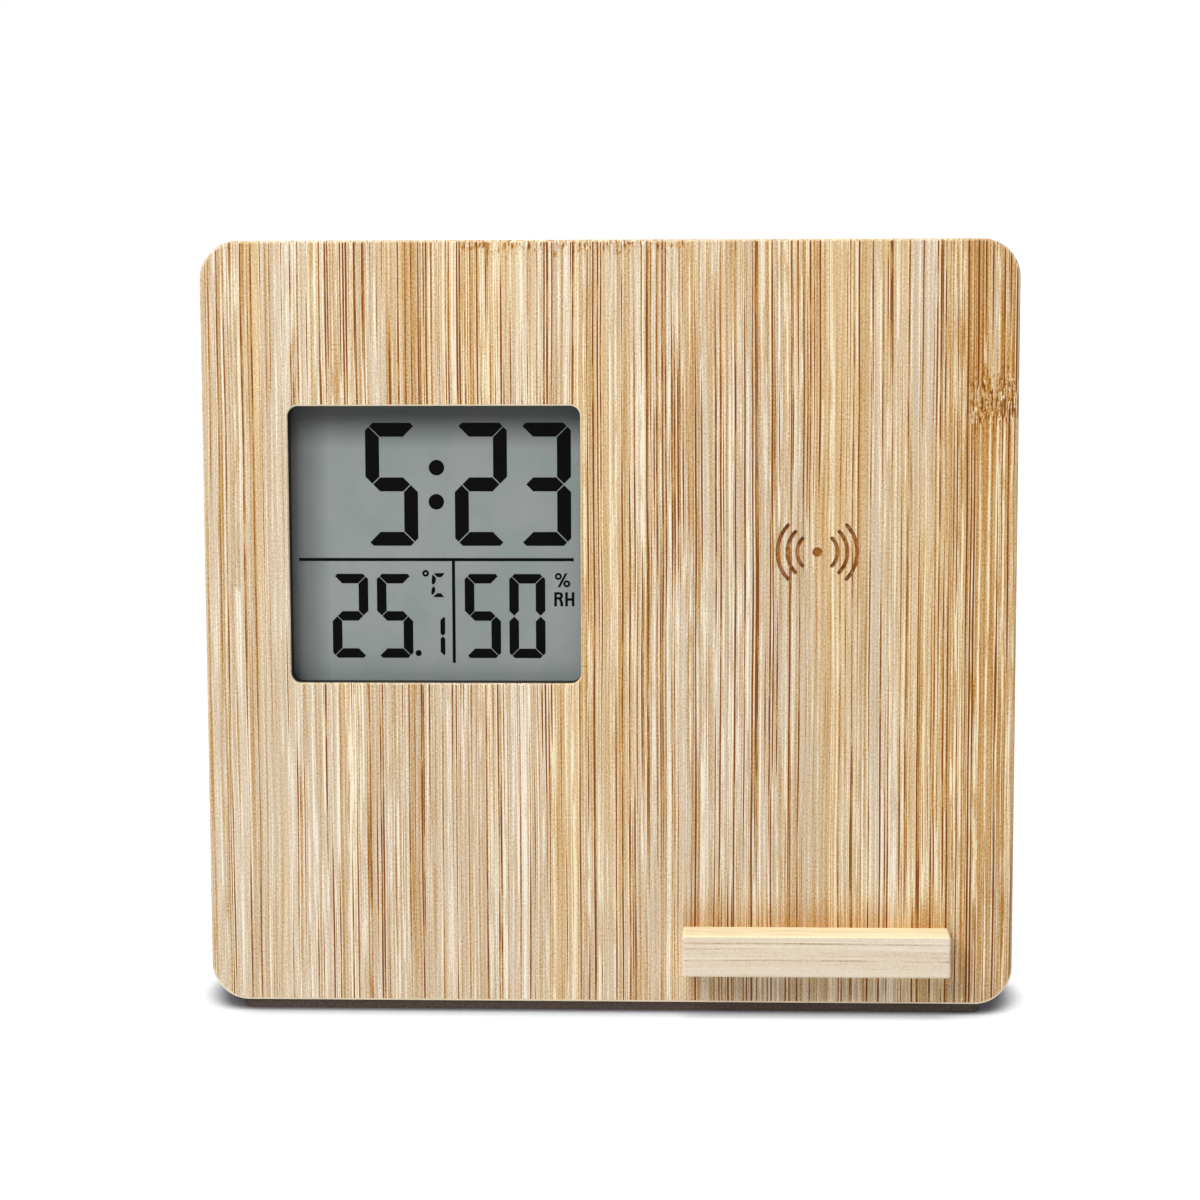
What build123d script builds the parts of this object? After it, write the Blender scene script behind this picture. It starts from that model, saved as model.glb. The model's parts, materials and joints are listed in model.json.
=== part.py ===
from build123d import *
import os
from math import cos, radians, sin, tan

# Millimetres and degrees. The clock is drawn upright, with its front face on the XZ plane, +Y to the back and
# the lower front edge on the X axis, and is then leaned back onto its strip and its leg.

# Bamboo case
case_width = 160.0
case_height = 151.6
case_depth = 15.0
case_corner_radius = 7.5
case_edge_radius = 0.6
lean_angle = 12.0
front_wall = 4.0
side_wall = 6.0
rear_rim = 4.0
screw_block = 9.0
overrun = 1.0

# Strip under the front edge
strip_height = 2.2
strip_width = 10.5
strip_setback = 1.0
strip_end_margin = 6.0
strip_corner_radius = 2.0

# Display window in the front wall
window_width = 57.6
window_height = 54.9
window_margin = 16.9
window_centre_height_share = 0.606
window_corner_radius = 2.0
window_edge_radius = 0.4

# Display stack behind the window, front to back
gasket_thickness = 0.4
gasket_setback = 0.8
lcd_border = 3.2
lcd_thickness = 1.8
lcd_fit = 0.15
zebra_height = 1.6
zebra_width = 2.2
zebra_inset = 0.8
display_frame_wall = 4.5
display_frame_fit = 0.3
clock_board_thickness = 0.8
clock_board_inset = 0.4
clock_board_tail = 3.5
module_screw_skin = 1.2

# Parts on the clock board
chip_radius = 4.5
chip_height = 1.1
chip_edge_radius = 0.6
chip_shift = 14.0
sensor_side = 3.0
sensor_height = 1.0
sensor_shift = 18.0
sensor_drop = 17.0

# Setting buttons and their switches
button_names = ("mode", "up", "down", "unit")
button_pitch = 14.0
button_length = 10.0
button_width = 4.6
button_fit = 0.2
button_flange = 0.9
button_flange_gap = 0.3
button_proud = 0.9
button_edge_radius = 0.4
button_row_drop = 9.0
button_travel = 0.5
switch_side = 4.5
switch_height = 0.9
plunger_radius = 1.2
plunger_fit = 0.05
plunger_rise = 0.55
plunger_hold = 0.15

# Back cover
cover_thickness = 2.4
cover_fit = 0.2
cover_edge_radius = 0.4
vent_count = 5
vent_length = 14.0
vent_width = 1.4
vent_pitch = 3.2

# Screws: countersunk in the cover, pan headed on the boards
cover_screw_length = 9.0
cover_screw_head_radius = 2.7
cover_screw_radius = 1.4
cover_screw_fit = 0.15
board_screw_head_radius = 1.9
board_screw_head_height = 1.3
board_screw_radius = 0.95
board_screw_fit = 0.1
recess_length = 2.2
recess_width = 0.5
recess_depth = 0.6

# Coin cell, its well in the cover and its turning cap
cell_radius = 10.0
cell_height = 3.2
cell_minus_radius = 8.8
cell_minus_height = 0.5
cell_fit = 0.3
cell_gap = 0.1
battery_margin = 34.0
cap_disc_radius = 13.2
cap_disc_thickness = 1.2
cap_seat_gap = 0.1
cap_fit = 0.25
cap_turn = 45.0
lug_reach = 1.2
lug_width = 7.0
lug_thickness = 1.2
lug_gap = 0.2
coin_slot_length = 15.0
coin_slot_width = 2.0
coin_slot_depth = 0.7
well_wall = 1.0
well_floor = 1.2
contact_thickness = 0.3
contact_width = 4.0
contact_slot_fit = 0.3
minus_contact_overlap = 3.0
minus_contact_shift = 6.0
minus_contact_reach = 5.0
plus_contact_height = 1.8
plus_contact_overlap = 6.0

# Phone ledge and the charging coil above it
ledge_width = 52.6
ledge_height = 8.3
ledge_depth = 8.0
ledge_rise = 7.2
ledge_edge_radius = 0.5
dowel_radius = 2.0
dowel_spacing = 34.0
dowel_in_ledge = 5.5
dowel_in_case = 3.0
charge_margin = 39.0
phone_coil_height = 75.1
coil_radius = 21.0
coil_bore_radius = 10.0
coil_thickness = 1.2
coil_setback = 0.1
ferrite_radius = 22.0
ferrite_thickness = 1.0
ferrite_fit = 0.3

# Charging symbol burnt into the front
mark_rings = 3
mark_first_radius = 3.95
mark_ring_step = 1.93
mark_half_angle = 43.0
mark_line = 0.75
mark_turn = 180.0
mark_dot_radius = 0.95
mark_depth = 0.3

# Charger board and what stands on it
charger_width = 44.0
charger_height = 32.0
charger_thickness = 1.6
charger_rise = 12.0
charger_screw_inset = 4.0
post_radius = 3.5
post_height = 2.0
charger_chip_side = 5.0
charger_chip_height = 0.9
inductor_side = 7.0
inductor_height = 3.0
inductor_edge_radius = 1.0
capacitor_length = 3.2
capacitor_width = 1.6
capacitor_height = 1.6
capacitor_pitch = 2.6
capacitor_count = 4
charger_column_share = 0.25
charger_row_share = 0.2
usb_length = 8.94
usb_width = 3.26
usb_wall = 0.3
usb_fit = 0.25
usb_setback = 0.3
usb_tongue_length = 6.7
usb_tongue_width = 0.7
usb_tongue_setback = 1.0
lead_radius = 0.6
lead_spacing = 5.0
lead_bend_radius = 1.9
lead_overlap = 13.0
lead_channel_margin = 1.5

# Folding leg
leg_width = 56.0
leg_thickness = 7.0
leg_splay = 8.0
leg_fold_gap = 1.5
leg_stop_gap = 0.15
leg_side_gap = 0.4
leg_edge_radius = 0.6
leg_crown_radius = 2.5
hinge_height_share = 0.66
ear_width = 8.0
ear_radius = 4.5
pin_radius = 1.6
pin_fit = 0.05
pin_in_leg = 12.0
pad_height = 2.0
pad_inset = 0.5
pad_end_margin = 3.0

# Places across and up the front
window_x = -case_width / 2 + window_margin + window_width / 2
window_z = case_height * window_centre_height_share
charge_x = case_width / 2 - charge_margin
ledge_z = ledge_rise + ledge_height / 2
charge_z = ledge_rise + ledge_height + phone_coil_height

# Back cover and pocket outlines
bevel_rise = case_depth * tan(radians(lean_angle))
cover_inner = case_depth - cover_thickness
cover_width = case_width - 2 * rear_rim - 2 * cover_fit
cover_height = case_height - bevel_rise - 2 * rear_rim - 2 * cover_fit
cover_z = (case_height + bevel_rise) / 2
cover_corner_radius = max(case_corner_radius - rear_rim, case_edge_radius)
pocket_width = case_width - 2 * side_wall
pocket_height = case_height - bevel_rise - 2 * side_wall
pocket_floor = cover_z - pocket_height / 2

# Depths of the display stack
lcd_width = window_width + 2 * lcd_border
lcd_height = window_height + 2 * lcd_border
lcd_front = front_wall + gasket_thickness
zebra_front = lcd_front + lcd_thickness
board_front = zebra_front + zebra_height
board_rear = board_front + clock_board_thickness
display_frame_width = lcd_width + 2 * (lcd_fit + display_frame_wall)
display_frame_height = lcd_height + 2 * (lcd_fit + display_frame_wall)
board_top = window_z + display_frame_height / 2 - clock_board_inset
board_bottom = window_z - display_frame_height / 2 - clock_board_tail
sensor_x = window_x - sensor_shift
sensor_z = window_z - sensor_drop

# Heights of the button stack
button_z = board_top - button_row_drop
switch_top = board_rear + switch_height
button_floor = switch_top + plunger_rise
button_flange_thickness = cover_inner - button_flange_gap - button_floor

# Depths of the battery stack
battery_x = -case_width / 2 + battery_margin
battery_z = (pocket_floor + board_bottom) / 2
cap_neck_radius = cell_radius + cell_fit
cap_lug_radius = cap_neck_radius + lug_reach
cap_neck_floor = cover_inner - lug_gap - lug_thickness
cell_top = cap_neck_floor - cell_gap
cell_bottom = cell_top - cell_height
well_bore_radius = cell_radius + cell_fit
well_mouth_radius = cap_lug_radius + cell_fit
well_radius = well_mouth_radius + well_wall
well_front = cell_bottom - contact_thickness

# Charger depths and places
ferrite_front = front_wall - coil_setback - ferrite_thickness
coil_web = ferrite_front - coil_thickness
charger_z = pocket_floor + charger_rise + charger_height / 2
charger_front = front_wall + post_height
charger_rear = charger_front + charger_thickness
usb_x = charge_x + charger_width * charger_column_share
usb_z = charger_z - charger_height * charger_row_share

# Hinge in the upright frame, and the lean
hinge_standoff = leg_thickness / 2 + leg_fold_gap
hinge_y = case_depth + hinge_standoff
hinge_z = case_height * hinge_height_share
lean = Pos(0, 0, strip_height) * Rot(-lean_angle, 0, 0)
hinge = (lean * Pos(0, hinge_y, hinge_z)).position
leg_open_angle = lean_angle + leg_splay
leg_reach = hinge_standoff - leg_stop_gap - leg_thickness / 2 * cos(radians(leg_open_angle))
leg_heel = leg_reach / sin(radians(leg_open_angle))


# Solids drawn as seen from the front and taken back by a depth
def upright(sketch, x, y, z, depth):
    front = Plane(origin=(x, y, z), x_dir=(1, 0, 0), z_dir=(0, -1, 0))
    return extrude(front * sketch, amount=-depth)


def block(width, height, x, y, z, depth):
    return upright(Rectangle(width, height), x, y, z, depth)


def rod(radius, x, y, z, depth):
    return upright(Circle(radius), x, y, z, depth)


def cross_rod(radius, x, y, z, length):
    return Pos(x, y, z) * Rot(0, 90, 0) * Cylinder(radius, length)


def below_height(height):
    side = case_width + case_height
    return Pos(0, 0, height) * Box(2 * side, 2 * side, side, align=(Align.CENTER, Align.CENTER, Align.MAX))


# Places of the fasteners and of what repeats
def cover_screw_places():
    across = (pocket_width - screw_block) / 2
    up = (pocket_height - screw_block) / 2
    return [(x, cover_z + z) for z in (-up, up) for x in (-across, 0, across)]


def module_screw_places():
    across = (display_frame_width - display_frame_wall) / 2
    up = (display_frame_height - display_frame_wall) / 2
    return [(window_x + x, window_z + z) for z in (-up, up) for x in (-across, across)]


def charger_screw_places():
    across = charger_width / 2 - charger_screw_inset
    up = charger_height / 2 - charger_screw_inset
    return [(charge_x + x, charger_z + z) for z in (-up, up) for x in (-across, across)]


def button_places():
    first = -(len(button_names) - 1) / 2
    return {name: window_x + (first + order) * button_pitch for order, name in enumerate(button_names)}


def dowel_places():
    return [charge_x + side * dowel_spacing / 2 for side in (-1, 1)]


def lead_places():
    return [charge_x + side * lead_spacing / 2 for side in (-1, 1)]


# Bamboo case: blank, window, pockets, burnt symbol and pilot holes
def charge_mark():
    mark = Circle(mark_dot_radius)
    for ring in range(mark_rings):
        radius = mark_first_radius + ring * mark_ring_step
        for middle in (0, mark_turn):
            arc = CenterArc((0, 0), radius, middle - mark_half_angle, 2 * mark_half_angle)
            mark += SlotArc(arc, mark_line)
    return upright(mark, charge_x, -overrun, charge_z, overrun + mark_depth)


def case_blank():
    outline = RectangleRounded(case_width, case_height, case_corner_radius)
    blank = upright(outline, 0, 0, case_height / 2, case_depth)
    blank = fillet(blank.faces().filter_by(Axis.Y).edges(), case_edge_radius)
    window = RectangleRounded(window_width, window_height, window_corner_radius)
    blank -= upright(window, window_x, -overrun, window_z, overrun + case_depth / 2)
    rim = blank.faces().sort_by(Axis.Y)[0].inner_wires()[0].edges()
    return fillet(rim, window_edge_radius)


def case_pocket():
    pocket = block(pocket_width, pocket_height, 0, front_wall, cover_z, case_depth)
    for x, z in cover_screw_places():
        pocket -= block(screw_block, screw_block, x, front_wall, z, case_depth)
    pocket += block(display_frame_width + 2 * display_frame_fit, display_frame_height + 2 * display_frame_fit,
                    window_x, front_wall, window_z, case_depth)
    for x, z in charger_screw_places():
        pocket -= rod(post_radius, x, front_wall, z, post_height)
    return pocket


def coil_recess():
    recess = rod(ferrite_radius + ferrite_fit, charge_x, coil_web, charge_z, front_wall)
    channel_top = charge_z
    channel_bottom = charger_z + charger_height / 2 - lead_overlap - lead_channel_margin
    channel_width = lead_spacing + 2 * (lead_radius + lead_channel_margin)
    channel_height = channel_top - channel_bottom
    channel_z = channel_bottom + channel_height / 2
    return recess + block(channel_width, channel_height, charge_x, coil_web, channel_z, front_wall - coil_web)


def bamboo_case():
    case = case_blank() - case_pocket() - coil_recess() - charge_mark()
    rabbet = RectangleRounded(cover_width + 2 * cover_fit, cover_height + 2 * cover_fit, cover_corner_radius)
    case -= upright(rabbet, 0, cover_inner, cover_z, cover_thickness + overrun)
    for x in dowel_places():
        case -= rod(dowel_radius, x, -overrun, ledge_z, overrun + dowel_in_case)
    for x, z in cover_screw_places():
        case -= rod(cover_screw_radius, x, case_depth - cover_screw_length, z, cover_screw_length)
    for x, z in module_screw_places():
        case -= rod(board_screw_radius, x, module_screw_skin, z, front_wall)
    for x, z in charger_screw_places():
        case -= rod(board_screw_radius, x, module_screw_skin, z, front_wall + post_height)
    return case - lean.inverse() * below_height(strip_height)


# Ledge, dowels and foot strip
def phone_ledge():
    bar = block(ledge_width, ledge_height, charge_x, -ledge_depth, ledge_z, ledge_depth)
    outer = bar.edges().filter_by(lambda edge: edge.center().Y < -ledge_edge_radius)
    bar = fillet(outer, ledge_edge_radius)
    for x in dowel_places():
        bar -= rod(dowel_radius, x, -dowel_in_ledge, ledge_z, dowel_in_ledge + overrun)
    return bar


def ledge_dowels():
    length = dowel_in_ledge + dowel_in_case
    return [rod(dowel_radius, x, -dowel_in_ledge, ledge_z, length) for x in dowel_places()]


def foot_strip():
    outline = RectangleRounded(case_width - 2 * strip_end_margin, strip_width, strip_corner_radius)
    return extrude(Pos(0, strip_setback + strip_width / 2) * outline, amount=strip_height)


# Display stack
def display_gasket():
    opening = Rectangle(window_width + 2 * gasket_setback, window_height + 2 * gasket_setback)
    ring = Rectangle(lcd_width, lcd_height) - opening
    return upright(ring, window_x, front_wall, window_z, gasket_thickness)


def lcd_panel():
    return block(lcd_width, lcd_height, window_x, lcd_front, window_z, lcd_thickness)


def lcd_frame():
    opening = Rectangle(lcd_width + 2 * lcd_fit, lcd_height + 2 * lcd_fit)
    ring = RectangleRounded(display_frame_width, display_frame_height, display_frame_wall / 2) - opening
    frame = upright(ring, window_x, front_wall, window_z, board_front - front_wall)
    for x, z in module_screw_places():
        frame -= rod(board_screw_radius + board_screw_fit, x, front_wall - overrun, z, case_depth)
    return frame


def zebra_strips():
    up = lcd_height / 2 - zebra_inset - zebra_width / 2
    length = lcd_width - 2 * zebra_inset
    return [block(length, zebra_width, window_x, zebra_front, window_z + z, zebra_height) for z in (-up, up)]


def clock_board():
    height = board_top - board_bottom
    width = display_frame_width - 2 * clock_board_inset
    board = block(width, height, window_x, board_front, (board_top + board_bottom) / 2, clock_board_thickness)
    for x, z in module_screw_places():
        board -= rod(board_screw_radius + board_screw_fit, x, board_front - overrun, z, case_depth)
    return board


def clock_chip():
    cap = rod(chip_radius, window_x + chip_shift, board_rear, window_z, chip_height)
    return fillet(cap.faces().sort_by(Axis.Y)[-1].edges(), chip_edge_radius)


def climate_sensor():
    return block(sensor_side, sensor_side, sensor_x, board_rear, sensor_z, sensor_height)


def pan_screw(x, z, seat, tip):
    screw = rod(board_screw_radius, x, tip, z, seat - tip)
    screw += rod(board_screw_head_radius, x, seat, z, board_screw_head_height)
    top = seat + board_screw_head_height
    return screw - cross_recess(x, z, top)


def cross_recess(x, z, top):
    bars = Rectangle(recess_length, recess_width) + Rectangle(recess_width, recess_length)
    return upright(bars, x, top - recess_depth, z, recess_depth + overrun)


def module_screws():
    return [pan_screw(x, z, board_rear, module_screw_skin) for x, z in module_screw_places()]


# Setting buttons, switch bodies and plungers
def switch_bodies():
    depth = plunger_hold + button_travel + plunger_fit
    bodies = []
    for x in button_places().values():
        body = block(switch_side, switch_side, x, board_rear, button_z, switch_height)
        bore = rod(plunger_radius + plunger_fit, x, switch_top - depth, button_z, depth + overrun)
        bodies.append(body - bore)
    return bodies


def switch_plunger(x):
    return rod(plunger_radius, x, switch_top - plunger_hold, button_z, plunger_hold + plunger_rise)


def setting_button(x):
    top = case_depth + button_proud
    stem = upright(SlotOverall(button_length, button_width), x, button_floor, button_z, top - button_floor)
    stem = fillet(stem.faces().sort_by(Axis.Y)[-1].edges(), button_edge_radius)
    rim = SlotOverall(button_length + 2 * button_flange, button_width + 2 * button_flange)
    return stem + upright(rim, x, button_floor, button_z, button_flange_thickness)


# Back cover with hinge ears, battery well, vents and openings
def hinge_ear(x):
    ear = cross_rod(ear_radius, x, hinge_y, hinge_z, ear_width)
    ear += block(ear_width, 2 * ear_radius, x, case_depth, hinge_z, hinge_standoff)
    return ear - cross_rod(pin_radius + pin_fit, x, hinge_y, hinge_z, ear_width + 2 * overrun)


def ear_places():
    return [side * (leg_width / 2 + leg_side_gap + ear_width / 2) for side in (-1, 1)]


def battery_well():
    well_depth = cover_inner - well_front + well_floor
    well = rod(well_radius, battery_x, well_front - well_floor, battery_z, well_depth)
    well -= rod(well_bore_radius, battery_x, well_front, battery_z, cover_inner)
    well -= rod(well_mouth_radius, battery_x, cap_neck_floor - lug_gap, battery_z, cover_inner)
    slot_width = contact_width + 2 * contact_slot_fit
    slot_z = battery_z + well_radius
    minus_floor = min(well_front, board_front - contact_thickness)
    minus_roof = max(well_front, board_front - contact_thickness) + contact_thickness + contact_slot_fit
    minus_x = battery_x - minus_contact_shift
    well -= block(slot_width, 2 * well_wall + 2 * lug_reach + cell_radius, minus_x, minus_floor, slot_z,
                  minus_roof - minus_floor)
    plus_floor = board_rear - contact_slot_fit
    plus_depth = contact_thickness + plus_contact_height + 2 * contact_slot_fit
    plus_height = 2 * (well_radius - cell_radius)
    return well - block(slot_width, plus_height, battery_x, plus_floor, slot_z, plus_depth)


def cap_lugs(extra):
    return Circle(cap_lug_radius + extra) & Rectangle(2 * cap_lug_radius + 2 * extra, lug_width + 2 * extra)


def battery_mouth():
    depth = cover_thickness + 2 * overrun
    seat = case_depth - cap_disc_thickness - cap_seat_gap
    front = cover_inner - overrun
    notches = Rot(0, 0, -cap_turn) * cap_lugs(cap_fit)
    mouth = rod(cap_neck_radius + cap_fit, battery_x, front, battery_z, depth)
    mouth += upright(notches, battery_x, front, battery_z, depth)
    return mouth + rod(cap_disc_radius + cap_fit, battery_x, seat, battery_z, depth)


def screw_seat(x, z, extra):
    head = cover_screw_head_radius + extra
    shank = cover_screw_radius + extra
    sink = cover_screw_head_radius - cover_screw_radius
    cone = Cone(shank, head, sink, align=(Align.CENTER, Align.CENTER, Align.MIN))
    return Pos(x, case_depth - sink, z) * Rot(-90, 0, 0) * cone


def cover_openings():
    depth = cover_thickness + 2 * overrun
    front = cover_inner - overrun
    slot = SlotOverall(button_length + 2 * button_fit, button_width + 2 * button_fit)
    openings = [upright(slot, x, front, button_z, depth) for x in button_places().values()]
    inlet = SlotOverall(usb_length + 2 * usb_fit, usb_width + 2 * usb_fit)
    openings.append(upright(inlet, usb_x, front, usb_z, depth))
    for order in range(vent_count):
        z = sensor_z + (order - (vent_count - 1) / 2) * vent_pitch
        openings.append(upright(SlotOverall(vent_length, vent_width), sensor_x, front, z, depth))
    for x, z in cover_screw_places():
        openings.append(rod(cover_screw_radius + cover_screw_fit, x, front, z, depth))
        openings.append(screw_seat(x, z, cover_screw_fit))
    return openings


def back_cover():
    outline = RectangleRounded(cover_width, cover_height, cover_corner_radius)
    cover = upright(outline, 0, cover_inner, cover_z, cover_thickness)
    cover = fillet(cover.faces().sort_by(Axis.Y)[-1].edges(), cover_edge_radius)
    cover -= battery_mouth()
    for opening in cover_openings():
        cover -= opening
    for x in ear_places():
        cover += hinge_ear(x)
    return cover + battery_well()


def cover_screws():
    screws = []
    for x, z in cover_screw_places():
        screw = rod(cover_screw_radius, x, case_depth - cover_screw_length, z, cover_screw_length)
        screw += screw_seat(x, z, 0)
        screws.append(screw - cross_recess(x, z, case_depth))
    return screws


# Battery cap, cell and contacts
def battery_cap():
    seat = case_depth - cap_disc_thickness
    cap = rod(cap_disc_radius, battery_x, seat, battery_z, cap_disc_thickness)
    cap += rod(cap_neck_radius, battery_x, cap_neck_floor, battery_z, seat - cap_neck_floor)
    cap += upright(cap_lugs(0), battery_x, cap_neck_floor, battery_z, lug_thickness)
    slot = SlotOverall(coin_slot_length, coin_slot_width)
    return cap - upright(slot, battery_x, case_depth - coin_slot_depth, battery_z, coin_slot_depth + overrun)


def coin_cell():
    can_bottom = cell_bottom + cell_minus_height
    can = rod(cell_radius, battery_x, can_bottom, battery_z, cell_top - can_bottom)
    return can + rod(cell_minus_radius, battery_x, cell_bottom, battery_z, cell_minus_height)


def battery_contact_minus():
    x = battery_x - minus_contact_shift
    tail_front = board_front - contact_thickness
    riser_front = min(well_front, tail_front)
    riser_rear = max(well_front, tail_front) + contact_thickness
    riser_z = battery_z + well_radius + contact_thickness
    foot_height = riser_z - battery_z + minus_contact_reach
    foot_z = riser_z - foot_height / 2
    tail_height = board_bottom + minus_contact_overlap - riser_z
    strip = block(contact_width, foot_height, x, well_front, foot_z, contact_thickness)
    strip += block(contact_width, contact_thickness, x, riser_front, riser_z, riser_rear - riser_front)
    tail_z = riser_z + tail_height / 2
    return strip + block(contact_width, tail_height, x, tail_front, tail_z, contact_thickness)


def battery_contact_plus():
    plate_z = battery_z + cell_radius + contact_thickness / 2
    plate = block(contact_width, contact_thickness, battery_x, board_rear, plate_z, plus_contact_height)
    tail_height = board_bottom + plus_contact_overlap - plate_z
    tail_z = plate_z + tail_height / 2
    return plate + block(contact_width, tail_height, battery_x, board_rear, tail_z, contact_thickness)


# Wireless charger
def charge_coil():
    ring = Circle(coil_radius) - Circle(coil_bore_radius)
    return upright(ring, charge_x, coil_web, charge_z, coil_thickness)


def ferrite_plate():
    return rod(ferrite_radius, charge_x, ferrite_front, charge_z, ferrite_thickness)


def charger_board():
    board = block(charger_width, charger_height, charge_x, charger_front, charger_z, charger_thickness)
    for x, z in charger_screw_places():
        board -= rod(board_screw_radius + board_screw_fit, x, charger_front - overrun, z, case_depth)
    return board


def charger_screws():
    return [pan_screw(x, z, charger_rear, module_screw_skin) for x, z in charger_screw_places()]


def charger_chip():
    x = charge_x - charger_width * charger_column_share
    z = charger_z - charger_height * charger_row_share
    return block(charger_chip_side, charger_chip_side, x, charger_rear, z, charger_chip_height)


def charger_inductor():
    x = charge_x - charger_width * charger_column_share
    z = charger_z + charger_height * charger_row_share
    body = RectangleRounded(inductor_side, inductor_side, inductor_edge_radius)
    return upright(body, x, charger_rear, z, inductor_height)


def charger_capacitors():
    x = charge_x + charger_width * charger_column_share / 2
    z = charger_z + charger_height * charger_row_share
    first = -(capacitor_count - 1) / 2
    rows = [z + (first + order) * capacitor_pitch for order in range(capacitor_count)]
    return [block(capacitor_length, capacitor_width, x, charger_rear, row, capacitor_height) for row in rows]


def usb_socket():
    depth = case_depth - usb_setback - charger_rear
    shell = upright(SlotOverall(usb_length, usb_width), usb_x, charger_rear, usb_z, depth)
    bore = SlotOverall(usb_length - 2 * usb_wall, usb_width - 2 * usb_wall)
    return shell - upright(bore, usb_x, charger_rear + usb_tongue_setback, usb_z, depth)


def usb_tongue():
    front = charger_rear + usb_tongue_setback
    depth = case_depth - usb_setback - usb_tongue_setback - front
    return block(usb_tongue_length, usb_tongue_width, usb_x, front, usb_z, depth)


def coil_leads():
    depth = coil_web + lead_radius
    top = charge_z - coil_radius
    bottom = charger_z + charger_height / 2 - lead_overlap
    leads = []
    for x in lead_places():
        route = FilletPolyline((x, depth, top), (x, depth, bottom), (x, charger_front, bottom),
                               radius=lead_bend_radius)
        section = Plane(origin=route @ 0, z_dir=route % 0) * Circle(lead_radius)
        leads.append(sweep(section, path=route))
    return leads


# Folding leg, drawn along its own line from the hinge and set at its open angle
def support_leg():
    span = hinge.Z / cos(radians(leg_splay)) + leg_thickness
    leg = Pos(0, 0, leg_heel) * Box(leg_width, leg_thickness, span + leg_heel,
                                    align=(Align.CENTER, Align.CENTER, Align.MAX))
    crown = leg.edges().filter_by(Axis.X).sort_by(Axis.Z)[-2:].sort_by(Axis.Y)[-1]
    leg = fillet(crown, leg_crown_radius)
    leg = fillet(leg.edges().filter_by(Axis.Z), leg_edge_radius)
    for side in (-1, 1):
        x = side * (leg_width / 2 - pin_in_leg / 2)
        leg -= cross_rod(pin_radius, x + side * overrun / 2, 0, 0, pin_in_leg + overrun)
    leg = Pos(hinge.X, hinge.Y, hinge.Z) * Rot(leg_splay, 0, 0) * leg
    return leg - below_height(pad_height)


def hinge_pins():
    length = pin_in_leg + leg_side_gap + ear_width
    middle = leg_width / 2 - pin_in_leg + length / 2
    return [cross_rod(pin_radius, side * middle, hinge.Y, hinge.Z, length) for side in (-1, 1)]


def leg_pad():
    middle = hinge.Y + (hinge.Z - pad_height) * tan(radians(leg_splay))
    depth = leg_thickness / cos(radians(leg_splay)) - 2 * pad_inset
    width = leg_width - 2 * pad_end_margin
    pad = Box(width, depth, pad_height, align=(Align.CENTER, Align.CENTER, Align.MIN))
    return Pos(0, middle, 0) * pad


# Everything in the case leans with it; the strip, the leg, its pins and its pad are drawn where they stand
leaning = {
    "bamboo_case": bamboo_case(), "phone_ledge": phone_ledge(), "ledge_dowels": ledge_dowels(),
    "display_gasket": display_gasket(), "lcd_panel": lcd_panel(), "lcd_frame": lcd_frame(),
    "zebra_strips": zebra_strips(), "clock_board": clock_board(), "clock_chip": clock_chip(),
    "climate_sensor": climate_sensor(), "module_screws": module_screws(), "switch_bodies": switch_bodies(),
    "back_cover": back_cover(), "cover_screws": cover_screws(), "battery_cap": battery_cap(),
    "coin_cell": coin_cell(), "battery_contact_minus": battery_contact_minus(),
    "battery_contact_plus": battery_contact_plus(), "charge_coil": charge_coil(),
    "ferrite_plate": ferrite_plate(), "charger_board": charger_board(), "charger_screws": charger_screws(),
    "charger_chip": charger_chip(), "charger_inductor": charger_inductor(),
    "charger_capacitors": charger_capacitors(), "usb_socket": usb_socket(), "usb_tongue": usb_tongue(),
    "coil_leads": coil_leads(),
}
for name, place in button_places().items():
    leaning[f"{name}_button"] = setting_button(place)
    leaning[f"{name}_plunger"] = switch_plunger(place)
standing = {
    "foot_strip": foot_strip(), "support_leg": support_leg(), "hinge_pins": hinge_pins(),
    "leg_pad": leg_pad(),
}


def joined(pieces):
    return Compound(pieces) if isinstance(pieces, list) else pieces


nodes = {name: lean * joined(pieces) for name, pieces in leaning.items()}
nodes |= {name: joined(pieces) for name, pieces in standing.items()}

# The origin is under the middle of the whole clock, on the table
reach = [(shape.bounding_box().min.Y, shape.bounding_box().max.Y) for shape in nodes.values()]
centring = Pos(0, -(min(low for low, _ in reach) + max(high for _, high in reach)) / 2, 0)
os.makedirs("parts", exist_ok=True)
for name, shape in nodes.items():
    export_step(centring * shape, f"parts/{name}.step")

# Joint axes and places to rest or plug in, for the drawing
upright_places = {
    "hinge": (0, hinge_y, hinge_z), "battery_cap": (battery_x, case_depth, battery_z),
    "usb_inlet": (usb_x, case_depth - usb_setback, usb_z),
    "phone_shelf": (charge_x, -ledge_depth / 2, ledge_rise + ledge_height),
}
for name, place in button_places().items():
    upright_places[f"{name}_button"] = (place, case_depth + button_proud, button_z)
for name, place in upright_places.items():
    spot = (centring * lean * Pos(*place)).position
    print(name, round(spot.X, 3), round(spot.Y, 3), round(spot.Z, 3))
for name in ("foot_strip", "leg_pad"):
    box = (centring * nodes[name]).bounding_box()
    print(name, 0, round((box.min.Y + box.max.Y) / 2, 3), 0)
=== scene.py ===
import bpy
import bmesh
import json
import math
from mathutils import Matrix, Vector


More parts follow.
